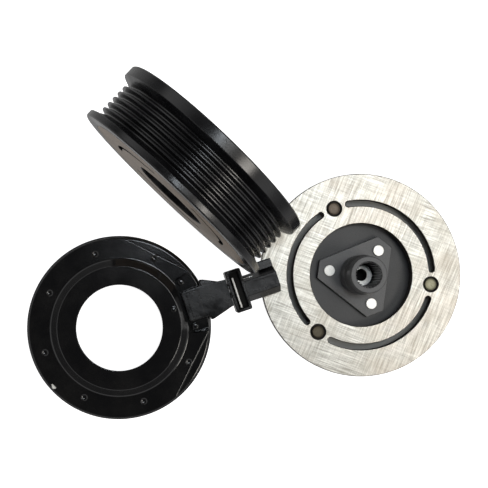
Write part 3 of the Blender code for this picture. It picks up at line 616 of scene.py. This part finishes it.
def coil_shell():
    """Turned steel channel, open below, with a window for the winding's leads."""
    mesh = lathe([(48.3, 21.4, 2.0), (48.3, 0.0, 0.4), (46.3, 0.0, 0.4), (46.3, 19.4, 0.8),
                  (30.3, 19.4, 0.8), (30.3, 0.0, 0.4), (28.3, 0.0, 0.4), (28.3, 21.4, 0.6)])
    mesh = combined(mesh, block((37.0, -4.5, 17.4), (43.0, 4.5, 23.4)))
    piece("coil_shell_turned", mesh, COIL, COIL_BODY, [ECOAT],
          ["coil_shell"])


def plate_reach(degrees):
    """Outer edge of the plate: a circle with two chords cut off beside the arm."""
    reach = PLATE_RADIUS
    for turn in CHORD_TURNS:
        across = math.cos(math.radians(degrees - turn))
        if across > 0.0:
            reach = min(reach, CHORD_REACH / across)
    return reach


def mounting_plate():
    """Pressed plate: raised seat ring, rolled step, chord cuts, arm notch, weld dimples."""
    profile = [(22.4, 26.6, 0.35), (32.3, 26.6, 1.1), (36.0, PLATE_TOP, 2.0),
               (PLATE_RADIUS, PLATE_TOP, 0.9), (PLATE_RADIUS, 21.7, 0.2), (34.3, 21.7, 1.0),
               (30.6, 24.9, 1.0), (22.4, 24.9, 0.3)]
    mesh = lathe(profile, 480, trim=plate_reach)
    notch = slab([rounded([(34.4, -14.8, 3.4), (60.0, -14.8), (60.0, 14.8),
                           (34.4, 14.8, 3.4)])], 15.0, 35.0)
    mesh = combined(mesh, notch)
    mesh = softened(mesh, 0.5, where=lambda place: abs(place.z - PLATE_TOP) < 0.01)
    dents = []
    for k in range(1, 8):
        x, y = polar(DIMPLE_REACH, 45.0 * k)
        dents.append(shifted(lathe([(0.0, 22.85), (0.8, 22.9), (1.3, 23.05), (1.7, 23.25),
                                    (2.0, 23.6), (0.0, 23.6)], 40, closed=False), x, y))
    nick = moved(block((-0.45, -1.5, 23.0), (0.45, 1.5, 24.0)),
                 Matrix.Translation((*NICK, 0.0))
                 @ Matrix.Rotation(math.radians(NICK_TURN), 4, "Z"))
    mesh = combined(mesh, joined(dents + [nick]))
    chip = Vector((*NICK, 23.0))
    for face in mesh.polygons:
        face.material_index = 1 if (face.center - chip).length < 1.2 else 0
    piece("mounting_plate_pressed", mesh, COIL, COIL_BODY, [ECOAT, WORN_AND_PAINTED_HIGHLIGHT],
          ["mounting_plate"])


def locating_pin():
    mesh = lathe([(0.0, 28.0), (1.3, 28.0, 0.45), (1.3, 26.7), (1.75, 26.7, 0.1), (1.75, 26.62),
                  (0.0, 26.62)], SMALL_STEPS, closed=False)
    piece("locating_pin_turned", shifted(mesh, 29.6), COIL, COIL_BODY, [ECOAT],
          ["locating_pin"])


def retaining_tabs():
    """Domed lugs beside the connector arm's block."""
    for number, across in ((1, -12.0), (2, 12.4)):
        mesh = lathe([(0.0, 24.6), (1.7, 24.6, 0.8), (1.7, 21.7, 0.1), (0.0, 21.7)], SMALL_STEPS,
                     closed=False)
        piece("retaining_lug_%d" % number, shifted(mesh, 37.9, across), COIL, COIL_BODY,
              [ECOAT], ["retaining_tab_%d" % number])


def blade_passages(start, end):
    return [block((start, side - 2.0, 21.8), (end, side + 2.0, 23.8)) for side in BLADE_SIDES]


def connector_arm():
    """Block in the plate's notch and the flat neck that tapers from it, in one moulding."""
    outline = rounded([(36.0, -9.0, 1.0), (46.6, -9.0, 0.5), (47.2, -11.4, 0.6),
                       (49.0, -11.2, 0.5), (59.1, -8.3, 1.0), (60.6, -8.0, 0.3),
                       (60.6, 6.4, 0.3), (56.4, 6.8, 1.5), (49.0, 10.3, 0.8), (47.2, 10.7, 0.5),
                       (46.6, 7.9, 0.5), (36.0, 7.7, 1.0)])
    mesh = slab([outline], 21.7, 25.6, 0.7, 4)
    neck = rounded([(49.6, -10.4, 0.6), (57.0, -8.0, 1.0), (60.5, -7.4, 0.3), (60.5, 6.0, 0.3),
                    (57.0, 6.2, 1.0), (49.6, 9.4, 0.6)])
    mesh = combined(mesh, slab([neck], 20.3, 24.0, 0.5), "UNION")
    saddle = slab([rounded([(38.2, -7.4, 0.7), (45.0, -7.4, 0.7), (45.0, 6.2, 0.7),
                            (38.2, 6.2, 0.7)])], 24.0, 26.0, 0.35)
    mesh = combined(mesh, saddle, "UNION")
    cuts = [block((58.2, -12.0, 24.3), (62.0, 12.0, 27.0)),
            block((38.0, -4.1, 20.7), (42.0, 4.1, 24.0))] + blade_passages(40.0, 65.0)
    for turn in (0.0, 90.0):
        bar = slab([rounded([(-1.5, -0.3, 0.2), (1.5, -0.3, 0.2), (1.5, 0.3, 0.2),
                             (-1.5, 0.3, 0.2)])], 25.8, 27.0)
        bar = moved(bar, Matrix.Rotation(math.radians(turn), 4, "Z"))
        cuts.append(shifted(bar, *MARK))
    ring_mark = slab([circle(2.3, 40, MARK), circle(1.9, 40, MARK)], 25.85, 27.0)
    for cutter in cuts + [ring_mark]:
        mesh = combined(mesh, cutter)
    piece("connector_arm_moulded", mesh, COIL, COIL_BODY, [MOULDING],
          ["connector_arm"])


def frame_outline(inset, radius):
    """The collar's outline, drawn in by an inset."""
    left, right, near, far = 60.9 + inset, 69.4 - inset, -12.5 + inset, 10.2 - inset
    return rounded([(left, near, radius), (right, near, radius), (right, far, radius),
                    (left, far, radius)])


def connector_housing():
    """Collar round a deep clip slot, then the plug socket with sloped cheeks and a ledge."""
    mesh = slab([frame_outline(0.0, 0.9)], 16.0, 27.4, 0.45)
    section = rounded([(9.8, 14.8, 0.6), (9.8, 20.5, 0.6), (5.2, 20.5, 0.5), (2.2, 27.2, 0.5),
                       (-5.7, 27.2, 0.5), (-9.0, 20.5, 0.6), (-9.0, 14.8, 0.8)])
    stand = Matrix.Rotation(math.radians(90), 4, "Z") @ Matrix.Rotation(math.radians(90), 4, "X")
    shroud = moved(slab([section], 68.6, 87.2, 0.3), stand)
    shroud = combined(shroud, block((60.0, 5.2, 10.0), (79.0, 12.0, 22.0)))
    mesh = combined(mesh, shroud, "UNION")
    mesh = combined(mesh, slab([frame_outline(1.45, 0.5)], 24.8, 30.0))
    mouth = slab([rounded([(4.0, 18.2, 0.6), (4.0, 23.0, 0.6), (2.2, 24.2, 0.6),
                           (-4.8, 24.2, 0.6), (-6.6, 23.0, 0.6), (-6.6, 18.2, 0.6)])], 72.7, 90.0)
    mesh = combined(mesh, moved(mouth, stand))
    for cutter in blade_passages(58.0, 75.0):
        mesh = combined(mesh, cutter)
    panel = slab([rounded([(72.8, -4.2, 0.3), (85.2, -4.2, 0.3), (85.2, 0.8, 0.3),
                           (72.8, 0.8, 0.3)])], 27.05, 28.0)
    mesh = combined(mesh, panel)
    mesh = softened(mesh, 0.15, where=lambda place: place.z > 27.0)
    rib = slab([rounded([(63.6, -10.3, 0.35), (64.5, -10.3, 0.35), (64.5, 6.2, 0.35),
                         (63.6, 6.2, 0.35)])], 24.6, 27.0, 0.3)
    mesh = combined(mesh, rib, "UNION")
    for face in mesh.polygons:
        place = face.center
        # The slot's bottom and walls get painted shade
        in_slot = 62.2 < place.x < 68.1 and -11.2 < place.y < 8.9 and 24.0 < place.z < 27.1
        # The rib's top is painted near white: a painted highlight along it
        on_rib = 63.5 < place.x < 64.6 and -10.5 < place.y < 6.4 and place.z > 26.0
        face.material_index = 1 if on_rib else 2 if in_slot else 0
    piece("connector_housing_moulded", mesh, COIL, COIL_BODY, [MOULDING, WORN_AND_PAINTED_HIGHLIGHT, SLOT_PAINTED_SHADE],
          ["connector_housing"])


def terminal_blades():
    for number, side in enumerate(BLADE_SIDES, 1):
        outline = rounded([(38.4, side - 1.4, 0.3), (82.4, side - 1.4), (83.7, side - 0.8, 0.3),
                           (83.7, side + 0.8, 0.3), (82.4, side + 1.4), (38.4, side + 1.4, 0.3)])
        piece("terminal_blade_tinned_%d" % number, slab([outline], 22.4, 23.2, 0.12), COIL,
              COIL_BODY, [TINNED], ["terminal_blade_%d" % number])


def potting():
    """Resin poured into the open channel, drawn up a little at both walls."""
    mesh = lathe([(30.62, 2.9), (45.98, 2.9), (45.98, 0.35), (45.3, 0.75, 0.4), (43.5, 0.95, 1.0),
                  (33.0, 0.95, 1.0), (31.3, 0.75, 0.4), (30.62, 0.35)])
    piece("potting_resin_poured", mesh, COIL, COIL_BODY, [RESIN],
          ["potting_resin"])


# ---------------------------------------------------------------- pulley and bearing

WIDTH = 33.5
FRONT, BACK = WIDTH / 2, -WIDTH / 2
FRICTION_RADIUS = 50.2          # the bare face ends at a fine groove here
BALLS_PER_ROW = 9
BALL_RADIUS = 2.6
BALL_REACH = 19.25              # from the axis to the middle of a ball
ROW_GAP = 8.0
BEARING_MIDDLE = 1.0            # height of the bearing's middle in the pulley


def row_height(row):
    return BEARING_MIDDLE + (row - 0.5) * ROW_GAP


def ball_turn(row, number):
    """Each row is staggered half a step from the other."""
    return 360.0 / BALLS_PER_ROW * (number + 0.5 * row)


def groove_profile():
    """Six belt grooves between two flanges, front to back."""
    radius, tip, root = 57.5, 54.0, 51.3
    pitch, flat = 3.56, 0.36
    first = FRONT - 3.4 - 1.4
    last = first - 6 * pitch
    points = [(radius - 0.6, FRONT, 0.15), (radius, FRONT - 0.6, 0.25),
              (radius, FRONT - 3.4, 0.4), (tip, first, 0.3)]
    for number in range(6):
        centre = first - (number + 0.5) * pitch
        points += [(root, centre + flat, 0.3), (root, centre - flat, 0.3)]
        if number < 5:
            ridge = centre - pitch / 2
            points += [(tip, ridge + flat, 0.25), (tip, ridge - flat, 0.25)]
    points += [(tip, last, 0.3), (radius, last - 1.4, 0.4), (radius, BACK + 0.6, 0.25),
               (radius - 0.6, BACK, 0.15)]
    return points


def pulley_rotor():
    """Grooved rim and friction disc; the disc's face is bare, the rest is painted."""
    floor = FRONT - 6.0
    profile = groove_profile()
    profile += [(48.8, BACK, 0.5), (48.8, floor, 1.5), (27.8, floor, 1.5), (27.8, -10.3, 0.4),
                (23.8, -10.3, 0.4), (23.8, 12.3, 0.2), (20.5, 12.3, 0.3), (20.5, FRONT, 0.5),
                (49.6, FRONT), (49.8, FRONT - 0.25), (FRICTION_RADIUS, FRONT - 0.25),
                (50.4, FRONT)]
    mesh = lathe(profile, 256)
    slots = [slab([arc_slot(34.5, 2.6, turn, 38.0)], floor - 4.0, FRONT + 4.0)
             for turn in thirds(0.0)]
    mesh = combined(mesh, joined(slots))
    mesh = softened(mesh, 0.2, where=lambda place: abs(place.z - FRONT) < 0.01)
    for face in mesh.polygons:
        reach = math.hypot(face.center.x, face.center.y)
        bare = face.center.z > FRONT - 0.05 and reach < FRICTION_RADIUS
        face.material_index = 1 if bare else 0
    piece("pulley_rotor_turned", mesh, PULLEY, "pulley", [PAINT, FRICTION],
          ["pulley_rotor"])


def race(wall, side, row, count=9):
    """Ball groove points in a ring's wall, top to bottom."""
    radius, centre, height = 2.95, BALL_REACH, row_height(row)
    reach = math.acos(abs(wall - centre) / radius)
    points = []
    for i in range(count):
        angle = reach - 2 * reach * i / (count - 1)
        points.append((centre + side * radius * math.cos(angle),
                       height + radius * math.sin(angle)))
    return points


def bearing():
    outer = [(23.5, 12.0, 0.6), (23.5, -10.0, 0.6), (21.0, -10.0, 0.2)]
    for row in (0, 1):
        outer += reversed(race(21.0, 1, row))
    outer.append((21.0, 12.0, 0.2))
    piece("bearing_outer_race", lathe(outer), PULLEY, "pulley", [BEARING],
          ["bearing_outer_ring"])
    inner = [(17.5, 12.0, 0.2)]
    for row in (1, 0):
        inner += race(17.5, -1, row)
    inner += [(17.5, -10.0, 0.2), (15.0, -10.0, 0.6), (15.0, 12.0, 0.6)]
    piece("bearing_inner_race", lathe(inner), PULLEY, COIL_BODY, [BEARING],
          ["bearing_inner_ring"])
    for name, outward, face in (("front", 1.0, 11.6), ("back", -1.0, -9.6)):
        steps = [(20.7, 0.0, 0.2), (20.0, 0.0, 0.2), (19.7, -0.3, 0.1), (18.9, -0.3, 0.1),
                 (18.6, 0.0, 0.2), (17.8, -0.25, 0.15), (17.8, -1.0, 0.2), (20.7, -1.0, 0.2)]
        mesh = lathe([(r, face + outward * z, c) for r, z, c in steps])
        piece("bearing_seal_lip_" + name, mesh, PULLEY, "pulley", [RUBBER],
              ["bearing_seal_" + name])


def ball_mesh(radius):
    """A cube divided and pushed out to a ball, so its facets are even."""
    shape = bmesh.new()
    bmesh.ops.create_cube(shape, size=1.0)
    bmesh.ops.subdivide_edges(shape, edges=shape.edges, cuts=11, use_grid_fill=True)
    for vert in shape.verts:
        vert.co = vert.co.normalized() * radius
    return mesh_from(shape)


def bearing_balls():
    for row in (0, 1):
        for number in range(BALLS_PER_ROW):
            turn = ball_turn(row, number)
            x, y = polar(BALL_REACH, turn)
            mesh = shifted(ball_mesh(BALL_RADIUS), x, y, row_height(row))
            label = "%d_%d" % (row + 1, number + 1)
            piece("bearing_ball_ground_" + label, mesh, PULLEY, "bearing_cage_and_balls",
                  [BEARING], ["bearing_ball_" + label])


def bearing_cage():
    """Moulded two-row cage with a round pocket for each ball."""
    mesh = lathe([(20.05, 8.6, 0.3), (20.05, -6.6, 0.3), (18.45, -6.6, 0.3), (18.45, 8.6, 0.3)])
    pockets = []
    for row in (0, 1):
        for number in range(BALLS_PER_ROW):
            turn = ball_turn(row, number)
            pocket = lathe([(0.0, 23.0), (2.9, 23.0), (2.9, 16.0), (0.0, 16.0)], 32, closed=False)
            stand = (Matrix.Translation((0.0, 0.0, row_height(row)))
                     @ Matrix.Rotation(math.radians(turn), 4, "Z")
                     @ Matrix.Rotation(math.radians(90), 4, "Y"))
            pockets.append(moved(pocket, stand))
    mesh = combined(mesh, joined(pockets))
    piece("bearing_cage_moulded", mesh, PULLEY, "bearing_cage_and_balls", [NYLON],
          ["bearing_cage"])


# ---------------------------------------------------------------- hub and armature

FLANGE_TURN = 52.0
ARMATURE_RIVET_TURN = 112.4
ARMATURE_RIVET_REACH = 38.8
HUB_RIVET_REACH = 16.9
SPRING_RIVET_REACH = 33.0
SPRING_SWEEP = 50.0
SPRING_RIVET_TURN = ARMATURE_RIVET_TURN - SPRING_SWEEP
FRONT_PLATE_TOP = 4.6
PAINTED_LIGHT_REACH = 30.0             # the front plate is under the armature beyond this, and gets painted light there
ARMATURE_RADIUS = 55.0
ARMATURE_OPENING = 28.0


def holes(radius, reach, first, low, high):
    """Three round cutters, a third of a turn apart."""
    return [slab([circle(radius, SMALL_STEPS, polar(reach, turn))], low, high)
            for turn in thirds(first)]


def front_plate():
    """Pressed disc under the armature, painted a much lighter tone where the armature covers it:
    painted light for what shows through the slots.
    """
    mesh = lathe([(46.0, FRONT_PLATE_TOP, 1.6), (46.0, 0.0, 0.3), (43.8, 0.0, 0.3),
                  (43.8, 2.4, 0.8), (8.0, 2.4, 0.2), (8.0, FRONT_PLATE_TOP, 0.2),
                  (PAINTED_LIGHT_REACH, FRONT_PLATE_TOP)])
    cuts = holes(4.6, ARMATURE_RIVET_REACH, ARMATURE_RIVET_TURN, 0.0, 7.0)
    cuts += holes(2.1, HUB_RIVET_REACH, FLANGE_TURN, 0.0, 7.0)
    cuts += holes(2.0, SPRING_RIVET_REACH, SPRING_RIVET_TURN, 0.0, 7.0)
    mesh = softened(combined(mesh, joined(cuts)), 0.12,
                    where=lambda place: abs(place.z - FRONT_PLATE_TOP) < 0.01)
    for face in mesh.polygons:
        # Faces under the armature get the painted light
        painted_lit = math.hypot(face.center.x, face.center.y) > PAINTED_LIGHT_REACH
        face.material_index = 1 if painted_lit and face.center.z > FRONT_PLATE_TOP - 0.1 else 0
    piece("front_plate_pressed", mesh, HUB, "hub", [PLATE_FINISH, PAINTED_LIGHT_UNDER_ARMATURE],
          ["front_plate"])


def spline_outline(root, tip, teeth):
    """Internal spline: flat-topped teeth round the bore."""
    outline = []
    share = 360.0 / teeth
    for k in range(teeth):
        for radius, part in ((root, 0.05), (root, 0.45), (tip, 0.6), (tip, 0.9)):
            outline.append(polar(radius, share * (k + part)))
    return outline


def hub():
    """Clipped triangular flange and stepped boss, with a splined bore."""
    corners = []
    for turn in thirds(FLANGE_TURN):
        for half in (-12.0, 12.0):
            corners.append((*polar(23.5, turn + half), 1.0))
    mesh = slab([rounded(corners)], 4.9, 8.3, 0.3)
    boss = lathe([(0.0, 35.1), (9.9, 35.1, 0.0), (9.9, 24.0, 1.0), (10.8, 21.0, 1.0), (10.8, 5.9),
                  (0.0, 5.9)], 160, closed=False)
    mesh = combined(mesh, boss, "UNION")
    mesh = combined(mesh, slab([spline_outline(7.0, 6.35, 26)], 12.0, 36.0))
    entry = lathe([(0.0, 35.6), (7.7, 35.6), (6.2, 34.1), (0.0, 34.1)], 96, closed=False)
    mesh = combined(mesh, entry)
    edge = lathe([(9.35, 35.6), (11.5, 35.6), (11.5, 34.2), (9.95, 34.2), (9.35, 34.9)], 160)
    mesh = combined(mesh, edge)
    bolt = lathe([(0.0, 13.0), (4.6, 13.0), (4.6, 3.0), (0.0, 3.0)], SMALL_STEPS, closed=False)
    mesh = combined(mesh, bolt)
    mesh = combined(mesh, joined(holes(2.1, HUB_RIVET_REACH, FLANGE_TURN, 3.0, 9.5)))
    piece("hub_forged", mesh, HUB, "hub", [HUB_FINISH], ["hub"])


def rivets(name, profile, reach, first, body, finishes, nodes):
    for number, turn in enumerate(thirds(first)):
        mesh = lathe(profile, SMALL_STEPS, closed=False)
        x, y = polar(reach * MM, turn)
        place = HUB @ Matrix.Translation((x, y, 0.0)) @ Matrix.Rotation(1.3 * number, 4, "Z")
        piece("%s_%d" % (name, number + 1), mesh, place, body, [finishes[number]],
              ["%s_%d" % (nodes, number + 1)])


def hub_small_parts():
    rivets("hub_rivet_upset", [(0.0, 9.52), (2.8, 9.5, 0.15), (2.95, 9.3, 0.1), (2.95, 8.5, 0.1),
                               (2.9, 8.35), (1.8, 8.35), (1.8, 2.1), (3.0, 2.1, 0.1),
                               (3.0, 1.3, 0.4), (0.0, 1.3)],
           HUB_RIVET_REACH, FLANGE_TURN, "hub", [BRIGHT] * 3, "hub_rivet")
    rivets("spring_rivet_upset", [(0.0, 7.3), (2.3, 7.3, 0.5), (3.0, 6.8, 0.4), (3.0, 6.4),
                                  (1.7, 6.4), (1.7, 2.1), (3.0, 2.1, 0.1), (3.0, 1.3, 0.4),
                                  (0.0, 1.3)],
           SPRING_RIVET_REACH, SPRING_RIVET_TURN, "hub", [SPRING] * 3,
           "spring_rivet")
    rivets("armature_rivet_upset", [(0.0, 12.85), (2.4, 12.8, 0.3), (2.75, 12.95, 0.15),
                                    (3.3, 12.6, 0.3), (3.3, 11.3, 0.1), (2.15, 11.3),
                                    (2.15, 8.2), (3.6, 8.2, 0.2),
                                    (3.6, 6.4, 0.2), (2.15, 6.4), (2.15, 4.1), (3.6, 4.1, 0.2),
                                    (3.6, 3.1, 0.4), (0.0, 3.1)],
           ARMATURE_RIVET_REACH, ARMATURE_RIVET_TURN, "armature", RIVET_PLATING,
           "armature_rivet")
    shim = lathe([(5.9, 13.3, 0.15), (5.9, 12.3, 0.15), (3.3, 12.3, 0.15), (3.3, 13.3, 0.15)], 96)
    piece("air_gap_shim_ring", shim, HUB, "hub", [BRIGHT], ["air_gap_shim"])


def leaf_springs():
    for number, turn in enumerate(thirds(ARMATURE_RIVET_TURN)):
        free = Vector(polar(ARMATURE_RIVET_REACH, turn))
        fixed = Vector(polar(SPRING_RIVET_REACH, turn - SPRING_SWEEP))
        run = free - fixed
        heading = math.degrees(math.atan2(run.y, run.x))
        outline = []
        for centre, start in ((free, heading - 90.0), (fixed, heading + 90.0)):
            for x, y in arc(3.5, start, start + 180.0, 24):
                outline.append((centre.x + x, centre.y + y))
        outlines = [outline, circle(2.6, SMALL_STEPS, free), circle(2.0, SMALL_STEPS, fixed)]
        piece("leaf_spring_blanked_%d" % (number + 1), slab(outlines, 5.3, 6.1, 0.12), HUB, "hub",
              [SPRING], ["leaf_spring_%d" % (number + 1)])


def armature_plate():
    """Ground ring with three arc slots and three pockets for the rivet heads."""
    outlines = [circle(ARMATURE_RADIUS, 288), circle(ARMATURE_OPENING)]
    outlines += [arc_slot(39.1, 3.2, turn, 48.0) for turn in thirds(52.4)]
    mesh = slab(outlines, 8.5, 13.5, 0.4)
    pocket = [(0.0, 14.5), (4.45, 14.5), (4.45, 11.0), (2.5, 11.0), (2.5, 7.5), (0.0, 7.5)]
    cuts = []
    for turn in thirds(ARMATURE_RIVET_TURN):
        cuts.append(shifted(lathe(pocket, 64, closed=False), *polar(ARMATURE_RIVET_REACH, turn)))
    mesh = combined(mesh, joined(cuts))
    for face in mesh.polygons:
        reach = math.hypot(face.center.x, face.center.y)
        flat = face.normal.z > 0.9 and face.center.z > 13.3
        # Rim walls get a darker painted shade
        at_rim = reach > ARMATURE_RADIUS - 1.0 or reach < ARMATURE_OPENING + 1.0
        wall = at_rim and abs(face.normal.z) < 0.2
        # Faces other than the ground top and the rim walls get near-black painted shade
        face.material_index = 0 if flat else 1 if wall else 2
    piece("armature_plate_ground", mesh, HUB, "armature", [GROUND, ARMATURE_SIDE_PAINTED_SHADE, ARMATURE_RECESS_PAINTED_SHADE],
          ["armature_plate"])


# ---------------------------------------------------------------- nodes kept as they are

def keep(node, finish):
    item = frame["nodes"][node]
    item.data.materials.clear()
    item.data.materials.append(finish)


# ---------------------------------------------------------------- camera, light and floor

CAMERA_LENS = 88.44
CAMERA_DISTANCE = 0.65884
CAMERA_LEAN = (math.radians(-5.307), math.radians(-1.659))   # from straight up, along X and Y
CAMERA_AIM = Vector((-62.7, 17.0, 0.0)) * MM                 # from the middle of the armature
# height of the mirrored direction (-1 straight down, 1 straight up) and its brightness
SURROUND = [(-1.0, 0.45), (-0.35, 0.45), (-0.08, 0.09), (0.12, 0.1), (0.3, 0.95), (0.55, 0.8),
            (0.85, 0.012)]
FLOOR_HALF = 2.2
FLOOR_GLOW = 0.95
HUB_PAINTED_SHADE = (0.030, 0.043)      # distances from the hub over which the painted shade on the floor fades out

def camera():
    """Almost overhead, tilted a little to the left and towards the viewer."""
    centre = (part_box("armature_plate")[0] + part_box("armature_plate")[1]) / 2
    target = Vector((centre.x, centre.y, 0.0)) + CAMERA_AIM
    back = Vector((math.sin(CAMERA_LEAN[0]), math.sin(CAMERA_LEAN[1]), 0.0))
    back.z = math.sqrt(1.0 - back.x ** 2 - back.y ** 2)
    side = Vector((0.0, 1.0, 0.0)).cross(back).normalized()
    data = bpy.data.cameras.new("camera")
    data.sensor_width = 36.0
    data.lens = CAMERA_LENS
    item = bpy.data.objects.new("camera", data)
    bpy.context.scene.collection.objects.link(item)
    stand = Matrix((side, back.cross(side), back)).transposed().to_4x4()
    stand.translation = target + back * CAMERA_DISTANCE
    item.matrix_world = stand
    bpy.context.scene.camera = item


def softbox(name, direction, distance, size, power, colour):
    """A rectangular light, facing the middle of the object."""
    data = bpy.data.lights.new(name, "AREA")
    data.shape = "RECTANGLE"
    data.size, data.size_y = size
    data.energy = power
    data.color = colour
    item = bpy.data.objects.new(name, data)
    bpy.context.scene.collection.objects.link(item)
    away = Vector(direction).normalized()
    item.matrix_world = (Matrix.Translation(away * distance)
                         @ away.to_track_quat("Z", "Y").to_matrix().to_4x4())


def studio():
    softbox("overhead_cool", (0.03, 0.125, 0.99), 1.7, (0.16, 0.16), 2.2, (0.86, 0.93, 1.0))
    softbox("overhead_panel", (0.26, 0.13, 0.957), 1.6, (0.42, 0.42), 3.0, (1.0, 1.0, 0.98))
    softbox("overhead_warm", (0.46, -0.27, 0.85), 1.6, (0.36, 0.36), 4.6, (1.0, 0.95, 0.88))
    softbox("wide_right", (0.85, 0.05, 0.52), 1.6, (0.5, 1.4), 3.0, (1.0, 0.99, 0.97))
    softbox("wide_left", (-0.65, -0.2, 0.73), 1.6, (0.6, 0.6), 0.5, (0.97, 0.98, 1.0))
    room()
    bpy.context.scene.view_settings.view_transform = "Standard"


def room():
    """White to the camera; in the objects' reflections it follows SURROUND."""
    world = bpy.data.worlds.new("studio")
    bpy.context.scene.world = world
    world.use_nodes = True
    tree = world.node_tree
    way = tree.nodes.new("ShaderNodeTexCoord")
    parts = tree.nodes.new("ShaderNodeSeparateXYZ")
    tree.links.new(way.outputs["Generated"], parts.inputs[0])
    raised = tree.nodes.new("ShaderNodeMath")
    raised.operation = "MULTIPLY_ADD"
    tree.links.new(parts.outputs["Z"], raised.inputs[0])
    raised.inputs[1].default_value = 0.5
    raised.inputs[2].default_value = 0.5
    fade = tree.nodes.new("ShaderNodeValToRGB")
    tree.links.new(raised.outputs[0], fade.inputs["Fac"])
    stops = fade.color_ramp.elements
    while len(stops) < len(SURROUND):
        stops.new(0.5)
    for stop, (height, strength) in zip(stops, SURROUND):
        stop.position = 0.5 + 0.5 * height
        stop.color = (strength, strength, strength, 1.0)
    seen = tree.nodes.new("ShaderNodeLightPath")
    pick = tree.nodes.new("ShaderNodeMix")
    pick.data_type = "FLOAT"
    tree.links.new(seen.outputs["Is Camera Ray"], pick.inputs[0])
    tree.links.new(fade.outputs["Color"], pick.inputs[2])
    pick.inputs[3].default_value = 1.0
    background = tree.nodes["Background"]
    background.inputs["Color"].default_value = (1.0, 1.0, 1.0, 1.0)
    tree.links.new(pick.outputs[0], background.inputs["Strength"])


def floor():
    """A pale, softly glowing sheet with painted shade under the hub, left out of the reflections.
    """
    finish = Finish("pale_floor_paper", Roughness=0.9)
    fibre = finish.noise(300.0, 4.0)
    paper = finish.blend(finish.spread(fibre, 0.0, 1.0), (0.93, 0.93, 0.93), (0.96, 0.96, 0.96))
    finish.shader.inputs["Emission Color"].default_value = (1.0, 1.0, 1.0, 1.0)
    apart = finish.node("ShaderNodeVectorMath", {"operation": "DISTANCE"})
    finish.feed(apart.inputs[0], finish.place)
    apart.inputs[1].default_value = HUB.translation
    # Painted shade: near the hub's middle the floor's colour goes dark and its glow goes out
    shade = finish.spread(apart.outputs["Value"], 0.0, 1.0, *HUB_PAINTED_SHADE)
    finish.colour(finish.blend(shade, (0.02, 0.02, 0.02), paper))
    glow = finish.math("MULTIPLY", shade, FLOOR_GLOW)
    finish.feed(finish.shader.inputs["Emission Strength"], glow)
    corners = [(x * FLOOR_HALF, y * FLOOR_HALF, 0.3)
               for x, y in ((-1, -1), (1, -1), (1, 1), (-1, 1))]
    mesh = slab([rounded(corners)], -0.012, -0.0003)
    mesh.materials.append(finish.material)
    item = bpy.data.objects.new("floor", mesh)
    item.visible_glossy = False
    bpy.context.scene.collection.objects.link(item)


camera()
studio()
floor()
coil_shell()
mounting_plate()
locating_pin()
retaining_tabs()
connector_arm()
connector_housing()
terminal_blades()
potting()
pulley_rotor()
bearing()
bearing_balls()
bearing_cage()
front_plate()
hub()
hub_small_parts()
leaf_springs()
armature_plate()
keep("bobbin", NATURAL)
keep("copper_winding", COPPER)
keep("winding_lead_1", COPPER)
keep("winding_lead_2", COPPER)
